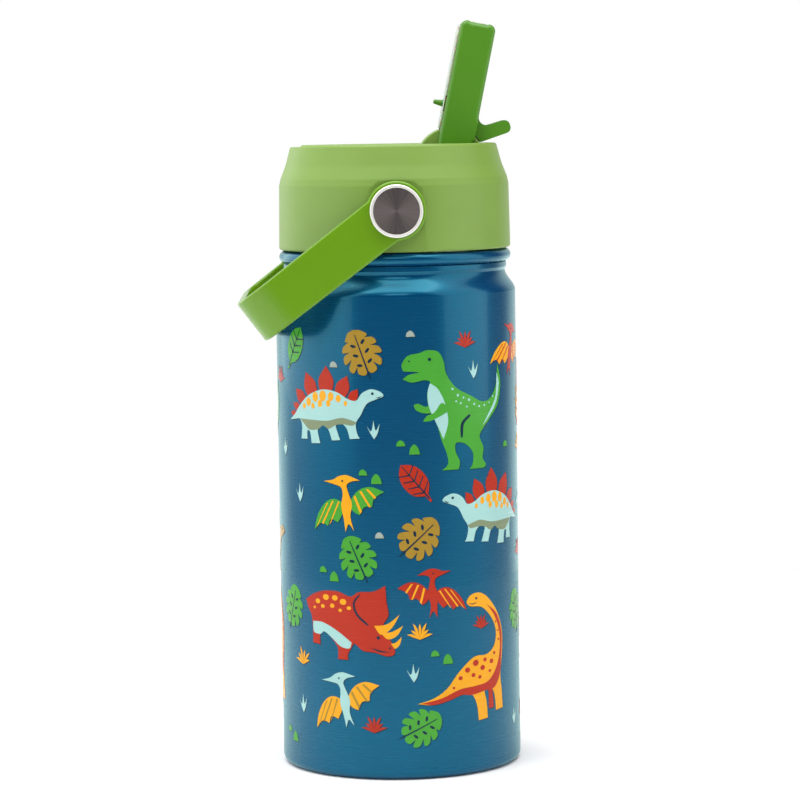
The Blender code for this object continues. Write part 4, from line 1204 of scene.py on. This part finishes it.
def horned(skin, belly, horns, spots):
    # a frilled three-horned grazer facing +u with its head low
    body = smoothed([
        (-15.6, 4.6, 1), (-12.6, 6.6), (-8.4, 8.2), (-3.4, 8.6), (0.6, 7.6), (3.2, 9.2), (7.6, 9.8),
        (11.0, 11.8, 1), (11.6, 7.2), (12.4, 3.2), (11.0, 0.2), (12.4, -2.8), (14.4, -5.6), (14.8, -8.0),
        (12.6, -8.8), (9.0, -8.0), (5.4, -7.8), (2.8, -6.0), (1.8, -7.4), (0.8, -9.4), (1.0, -11.0, 1),
        (-2.4, -11.2, 1), (-2.6, -8.0), (-4.6, -5.6), (-7.6, -3.8), (-9.2, -5.0), (-9.0, -7.8, 1),
        (-12.0, -7.8, 1), (-12.2, -3.8), (-13.0, 0.2), (-14.6, 2.4),
    ])
    front = smoothed([(-12.2, -1.4, 1), (-8.2, -1.2), (-3.0, -3.0), (1.8, -5.8, 1), (1.2, -7.6), (-1.6, -7.4),
                      (-4.6, -5.4), (-7.6, -3.8), (-9.2, -4.8), (-11.8, -4.4)])
    frill = smoothed([
        (3.4, 8.6), (6.8, 9.4), (10.8, 11.4, 1), (11.2, 7.0), (11.9, 3.4), (10.2, 0.6), (6.4, 0.2),
        (3.0, 2.6), (1.8, 5.8),
    ])
    edge = smoothed([
        (3.2, 8.4), (1.6, 5.8), (2.8, 2.4), (6.2, -0.2), (6.4, 0.3), (3.3, 2.8), (2.2, 5.8), (3.6, 8.2),
    ], 4)
    spikes = [[(8.4, -0.2, 1), (12.2, 0.6), (15.6, 3.6, 1), (13.6, -0.4), (10.6, -2.6)],
              [(10.4, -2.0, 1), (13.6, -1.6), (16.8, 0.4, 1), (15.2, -2.6), (12.6, -3.8)],
              [(13.6, -5.0, 1), (15.0, -4.6), (16.6, -2.8, 1), (16.2, -5.0), (14.9, -6.4)]]
    shapes = [(skin, 3, body), (belly, 4, front), (skin, 4, frill), ("dark", 5, edge)]
    shapes += [(horns, 5, smoothed(line, 4)) for line in spikes]
    shapes += dots(spots, [
        (-10.6, 4.8, 0.9), (-7.6, 6.4, 1.1), (-8.6, 3.6, 0.7), (-4.4, 6.6, 1.0), (-5.2, 4.2, 0.8),
        (-1.6, 5.8, 1.1), (-2.4, 3.2, 0.6), (0.4, 4.2, 0.7), (-11.8, 2.8, 0.5),
    ], 1.0, 0.8)
    mouth = smoothed([(7.6, -6.6, 1), (10.4, -7.2), (13.6, -7.6, 1), (10.4, -7.7)])
    eye, nostril = oval(9.8, -3.6, 0.5), oval(13.4, -6.4, 0.3)
    return shapes + [("dark", 5, shape) for shape in (eye, nostril, mouth)]


def tallNeck(skin, belly, spots):
    # a long-necked browser; its neck rises at +u and the tail trails away towards -u
    body = smoothed([
        (-20.6, -9.4, 1), (-15.4, -8.2), (-10.6, -5.6), (-6.0, -0.8), (0.0, 3.2), (5.4, 3.2), (9.2, 5.2),
        (10.6, 9.6), (9.2, 13.8), (5.8, 17.8), (3.2, 19.2), (-0.4, 19.8), (-1.6, 21.4), (0.2, 23.4),
        (3.8, 23.6), (7.4, 21.4), (11.8, 15.8), (14.0, 9.0), (13.4, 2.0), (12.0, -4.4), (12.4, -9.8),
        (12.6, -15.6, 1), (8.8, -15.8, 1), (8.4, -10.6), (6.6, -7.8), (3.8, -8.2), (4.4, -12.2),
        (4.6, -17.4, 1), (0.6, -17.6, 1), (0.2, -12.4), (-1.6, -8.8), (-5.4, -8.2), (-10.4, -9.4),
        (-15.4, -10.2),
    ])
    low = smoothed([
        (-19.4, -9.4, 1), (-12.6, -8.4), (-6.0, -6.4), (0.2, -6.2), (6.0, -5.4), (10.4, -1.2),
        (12.4, 4.4), (12.2, 10.2), (9.8, 15.6), (6.6, 19.4, 1), (11.2, 15.6), (13.6, 9.2), (13.0, 2.0),
        (11.6, -4.6), (8.4, -8.2), (4.0, -8.4), (-1.6, -8.9), (-5.4, -8.3), (-10.4, -9.5), (-15.2, -10.2),
    ])
    farLeg = [(7.4, -8.0), (7.8, -14.6), (5.4, -14.6), (5.6, -8.0)]
    shapes = [(belly, 2, farLeg), (skin, 3, body), (belly, 4, low)]
    shapes += dots(spots, [
        (-2.8, -0.6, 1.0), (0.6, 1.2, 1.2), (-0.6, -2.6, 0.8), (3.4, -0.8, 1.0), (4.6, 1.6, 0.8),
        (-5.6, -2.8, 0.8), (7.6, 0.6, 0.9), (2.0, -3.6, 0.7), (6.6, -2.4, 0.6), (-8.2, -5.6, 0.5),
        (9.2, 3.0, 0.6), (11.8, 7.0, 0.45), (11.6, 10.0, 0.4), (10.6, 13.0, 0.4),
    ], 1.0, 0.85)
    mouth = smoothed([(-1.2, 20.9, 1), (0.6, 20.5), (2.6, 20.8, 1), (0.6, 20.2)])
    return shapes + [("dark", 5, oval(2.2, 22.0, 0.42)), ("dark", 5, mouth)]


def flyer(skin, wing, stripe):
    # a crested flying reptile seen from the front, its head turned to -u
    left = smoothed([(-1.2, 0.2), (-4.6, 1.6), (-8.2, 0.0), (-11.4, -4.4), (-12.6, -8.8, 1), (-9.6, -6.4),
                     (-7.0, -7.4, 1), (-5.8, -5.0), (-3.2, -6.0, 1), (-1.4, -3.0)], 4)
    right = smoothed([
        (1.2, 0.4), (4.0, 4.4), (8.2, 5.8), (12.8, 4.2, 1), (9.6, 2.2), (8.8, -0.6, 1), (6.2, -0.8),
        (4.6, -3.4, 1), (2.4, -2.2),
    ], 4)
    body = smoothed([
        (-8.4, 7.2, 1), (-4.8, 7.8), (-2.6, 9.0), (0.4, 9.4), (4.8, 7.8, 1), (1.8, 7.4), (0.2, 6.0),
        (1.0, 3.2), (2.0, 0.0), (1.4, -4.0), (2.6, -8.6, 1), (0.8, -6.4), (-0.4, -9.0, 1), (-1.0, -4.6),
        (-1.8, -0.6), (-1.2, 3.2), (-1.8, 5.4), (-3.8, 6.2),
    ], 4)
    bars = [
        [(-3.0, 0.8), (-6.4, -6.8), (-5.8, -6.2), (-2.4, 0.6)],
        [(-5.2, 0.9), (-9.4, -6.6), (-8.8, -6.8), (-4.6, 0.9)],
        [(-7.4, 0.0), (-11.8, -8.0), (-11.2, -7.4), (-6.8, 0.2)],
        [(2.6, 2.4), (4.8, -3.0), (5.4, -2.2), (3.2, 3.0)],
        [(4.6, 4.2), (7.8, -0.8), (8.4, -0.7), (5.3, 4.5)],
        [(6.8, 5.0), (9.6, 1.9), (10.2, 2.4), (7.6, 5.1)],
    ]
    shapes = [(wing, 2, left), (wing, 2, right), (skin, 3, body)]
    shapes += [(stripe, 3, bar) for bar in bars]
    return shapes + [("dark", 5, oval(-1.3, 7.5, 0.34))]


def splitLeaf(color):
    # a broad leaf with cuts from its edge, a midrib and a few holes
    half = [
        (0.0, 8.4, 1), (2.2, 7.6), (4.2, 5.6), (3.0, 4.7, 1), (5.6, 4.0), (6.4, 1.8), (4.0, 1.7, 1),
        (6.6, 0.2), (6.8, -2.0), (4.0, -1.3, 1), (6.0, -3.8), (5.0, -6.0), (3.0, -4.0, 1), (3.4, -6.8),
        (1.2, -7.6), (0.0, -6.2, 1),
    ]
    other = [(-x, y + 0.4 * (k % 2), *sharp) for k, (x, y, *sharp) in enumerate(half[-2:0:-1])]
    blade = smoothed(half + other, 4)
    rib = [(-0.16, 6.6), (0.16, 6.6), (0.3, -6.4), (0.2, -9.4), (-0.2, -9.4), (-0.3, -6.4)]
    cuts = [oval(x, y, 1.05, 0.5, turn) for x, y, turn in (
        (1.9, 3.6, 35), (-2.0, 3.2, -35), (2.3, 0.2, 30), (-2.2, -0.2, -30), (2.0, -3.4, 25),
        (-2.0, -3.8, -25),
    )]
    return [(color, 3, blade)] + [("dark", 4, shape) for shape in [rib] + cuts]


def leaflet(color, count=4):
    # a pointed leaf with side veins
    blade = smoothed([
        (0.0, 6.6, 1), (2.6, 4.2), (3.7, 0.6), (3.0, -3.2), (0.6, -5.6, 1), (0.2, -7.8), (-0.4, -7.8),
        (-0.4, -5.6, 1), (-3.0, -3.2), (-3.7, 0.6), (-2.6, 4.2),
    ])
    veins = [[(-0.12, 6.0), (0.12, 6.0), (0.25, -7.0), (-0.25, -7.0)]]
    for k in range(count):
        y = 3.2 - 2.3 * k
        for sign in (-1, 1):
            veins.append([(0.0, y - 1.0), (sign * 2.9, y + 0.8), (sign * 2.9, y + 1.15), (0.0, y - 0.5)])
    return [(color, 3, blade)] + [("dark", 4, vein) for vein in veins]


def tuft(color, blades=7, tall=5.0):
    made = []
    for k in range(blades):
        lean = math.radians(-80 + 160 * k / (blades - 1))
        reach = tall * (1.0 - 0.2 * abs(math.sin(lean))) * (0.8 if k % 2 else 1.0)
        x, y = reach * math.sin(lean), reach * math.cos(lean)
        wide, rise = 0.4 * math.cos(lean), 0.4 * math.sin(lean)
        made.append((color, 3, smoothed([
            (0.0, -0.9, 1), (x * 0.55 - wide, y * 0.55 + rise), (x, y, 1), (x * 0.55 + wide, y * 0.55 - rise),
        ], 4)))
    return made


def sprig(color):
    return [(color, 3, smoothed([(0.2, -2.6, 1), (-0.9, -0.8), (-1.9, 1.2, 1), (-0.6, -0.2), (0.1, 3.0, 1),
                                 (0.7, 0.0), (1.9, 2.0, 1), (1.3, -0.8)], 4))]


def pebbles(color, pair=True):
    made = [(color, 3, smoothed([(-1.3, -0.7, 1), (-1.0, 0.5), (0.0, 1.1), (1.0, 0.4), (1.4, -0.7, 1)], 4))]
    if pair:
        other = smoothed([(2.5, -3.2, 1), (2.8, -1.4), (4.0, -0.2), (5.2, -1.4), (5.7, -3.2, 1)], 4)
        made.append((color, 3, other))
    return made


def stamp(shapes, u, z, size=1.0, turn=0.0, flip=1):
    # lays a drawing on the unrolled wall, with a painted shadow under every shape: a thin dark copy offset to
    # the lower right
    c, s = math.cos(math.radians(turn)), math.sin(math.radians(turn))

    def laid(outline, shift=(0.0, 0.0)):
        return [(u + size * flip * (x * c - y * s) + shift[0], z + size * (x * s + y * c) + shift[1])
                for x, y in outline]
    for ink, level, outline in shapes:
        inks[ink].append((level, laid([p[:2] for p in outline])))
        if ink != "dark" and level < 4:
            # painted shadow: the shape again in dark ink, shifted to the lower right, at the lowest level
            inks["dark"].append((1, laid([p[:2] for p in outline], printLook["shadow"])))


# every drawing with its inks, and where it is printed: along the wall, height, size, turn, mirror
for draw, colors, places in (
    (plated, ("pale", "red", "yellow", "moss"),
     [(-22.5, 111.0), (30.5, 79.5, 1.0, 0, -1), (106.0, 112.0, 1.0, 0, -1)]),
    (plated, ("gold", "pale", "yellow", "moss"), [(-64.0, 68.0), (-96.0, 26.0, 0.95, 0, -1)]),
    (walker, ("green", "pale", "pale"), [(17.9, 110.0, 0.98), (-69.0, 105.0, 0.98)]),
    (walker, ("gold", "moss", "yellow"), [(68.0, 30.0, 0.85)]),
    (horned, ("red", "pale", "yellow", "yellow"),
     [(-17.0, 47.2, 1.02, -4), (66.0, 112.0, 1.0, -4, -1), (-98.0, 56.0, 0.95)]),
    (horned, ("green", "pale", "gold", "yellow"), [(106.0, 52.0)]),
    (tallNeck, ("yellow", "red", "red"),
     [(22.8, 32.6, 0.93, 3), (-62.0, 34.0, 0.93, 3), (74.0, 72.0, 0.93, 0, -1)]),
    (flyer, ("yellow", "green", "yellow"), [(-16.6, 82.4, 0.92), (104.0, 84.0, 0.95)]),
    (flyer, ("red", "red", "yellow"), [(9.2, 55.6, 0.8, -8, -1), (-86.0, 84.0, 0.95, 10)]),
    (flyer, ("red", "yellow", "red"), [(43.6, 126.0, 0.85, -20), (-101.0, 117.0, 0.85, 8)]),
    (flyer, ("pale", "yellow", "gold"), [(-18.2, 23.6, 0.9, 6), (104.0, 24.0, 0.9)]),
    (splitLeaf, ("gold",),
     [(-11.1, 127.2, 0.86, 20), (5.4, 72.4, 0.86, -48), (84.0, 128.0, 0.86, 30), (-106.0, 96.0, 0.86, 20)]),
    (splitLeaf, ("green",),
     [(-13.4, 66.4, 0.84, 24), (5.2, 15.8, 0.8, -64), (88.0, 94.0, 0.86, -30), (46.0, 47.0, 0.8, 15),
      (-40.0, 50.0, 0.8, -20)]),
    (leaflet, ("red",), [(4.2, 89.2, 0.98, 40), (88.0, 32.0, 1.0, 30), (-84.0, 130.0, 0.8, -30)]),
    (leaflet, ("green", 3), [(-36.4, 128.6, 1.0, -30), (61.0, 131.5, 0.85, 20), (-74.0, 14.0, 0.8, 70)]),
    (tuft, ("red",),
     [(20.9, 129.0), (25.6, 44.6, 0.85), (-8.9, 15.2), (-47.5, 118.0), (50.0, 64.0), (-108.0, 74.0),
      (54.0, 14.0)]),
    (tuft, ("yellow",), [(5.1, 43.0), (86.0, 56.0), (-110.0, 129.0), (-62.0, 14.0)]),
    (tuft, ("yellow", 6), [(-34.7, 33.8), (52.0, 96.0)]),
    (sprig, ("pale",),
     [(-7.8, 104.4), (23.7, 121.3), (-35.0, 84.7), (-35.1, 20.9), (2.9, 32.0), (43.0, 14.8), (50.0, 80.0),
      (88.0, 14.0), (-78.0, 100.0), (-72.0, 52.0), (-44.0, 98.0)]),
    (pebbles, ("green",),
     [(0.2, 100.4), (-11.2, 91.8), (-25.2, 62.4), (9.6, 37.6), (84.0, 82.0), (-100.0, 108.0), (-44.0, 12.0)]),
    (pebbles, ("green", False), [(38.8, 98.0)]),
    (pebbles, ("stone", False), [(-20.2, 123.6), (3.5, 132.6), (-6.5, 73.2)]),
    (pebbles, ("stone",), [(52.0, 106.0), (-106.0, 14.0)]),
):
    for place in places:
        stamp(draw(*colors), *place)


def flatInk(name, shapes):
    # the flat drawing of one ink, sliced upright so that it can bend round the wall
    bm = bmesh.new()
    level = bm.faces.layers.float.new("level")
    for height, outline in shapes:
        outline = anticlockwise(outline)
        kept = [p for i, p in enumerate(outline) if math.dist(p, outline[i - 1]) > 0.02]
        face = bm.faces.new([bm.verts.new((x * mm, y * mm, 0.0)) for x, y in kept])
        face[level] = float(height)
    bm.normal_update()
    bmesh.ops.triangulate(bm, faces=bm.faces, quad_method="BEAUTY", ngon_method="BEAUTY")
    first = min(v.co.x for v in bm.verts)
    last = max(v.co.x for v in bm.verts)
    for i in range(1, int((last - first) / printLook["slice"]) + 1):
        sliceAt(bm, first + i * printLook["slice"])
    return meshed(name, bm)


def makeWrapTree():
    # thickens a flat drawing by its level and bends it round the wall
    tree, graph, wires = geometryTree("wrapPrint", {
        "Radius": "Float", "Under": "Float", "Step": "Float", "Ink": "Material",
    })
    level = graph.add(
        "GeometryNodeInputNamedAttribute", {"data_type": "FLOAT"}, {"Name": "level"}, "Attribute"
    )
    raised = graph.add("GeometryNodeExtrudeMesh", {}, {
        "Mesh": wires["Geometry"], "Offset": (0.0, 0.0, 1.0),
        "Offset Scale": wires["Under"] + wires["Step"] * level, "Individual": False,
    }, "Mesh")
    base = graph.add("GeometryNodeFlipFaces", {}, {"Mesh": wires["Geometry"]})
    both = graph.tree.nodes.new("GeometryNodeJoinGeometry")
    for wire in (raised, base):
        graph.tree.links.new(wire.socket, both.inputs[0])
    closed = graph.add("GeometryNodeMergeByDistance", {}, {
        "Geometry": Wire(graph, both.outputs[0]), "Distance": 0.000001,
    })
    place = graph.add("GeometryNodeInputPosition")
    split = [graph.part(place, axis) for axis in "XYZ"]
    turn = split[0] / wires["Radius"]
    radius = wires["Radius"] - wires["Under"] + split[2]
    bent = graph.add("ShaderNodeCombineXYZ", {}, {
        "X": radius * graph.math("SINE", turn),
        "Y": -1.0 * radius * graph.math("COSINE", turn),
        "Z": split[1],
    })
    wrapped = graph.add("GeometryNodeSetPosition", {}, {"Geometry": closed, "Position": bent})
    closeTree(graph, wrapped, wires["Ink"])
    return tree


wrapTree = makeWrapTree()
for inkName, inkColor in inkColors.items():
    finish = paintFinish("ink" + inkName.title(), linear(inkColor), 0.0)
    item = grow(flatInk("print_" + inkName, inks[inkName]), wrapTree, {
        "Radius": bodyRadius, "Under": printLook["under"], "Step": printLook["step"], "Ink": finish,
    })
    item.data.shade_smooth()
    item.data.set_sharp_from_angle(angle=math.radians(30))
    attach(item, "bottle")
print("print made")
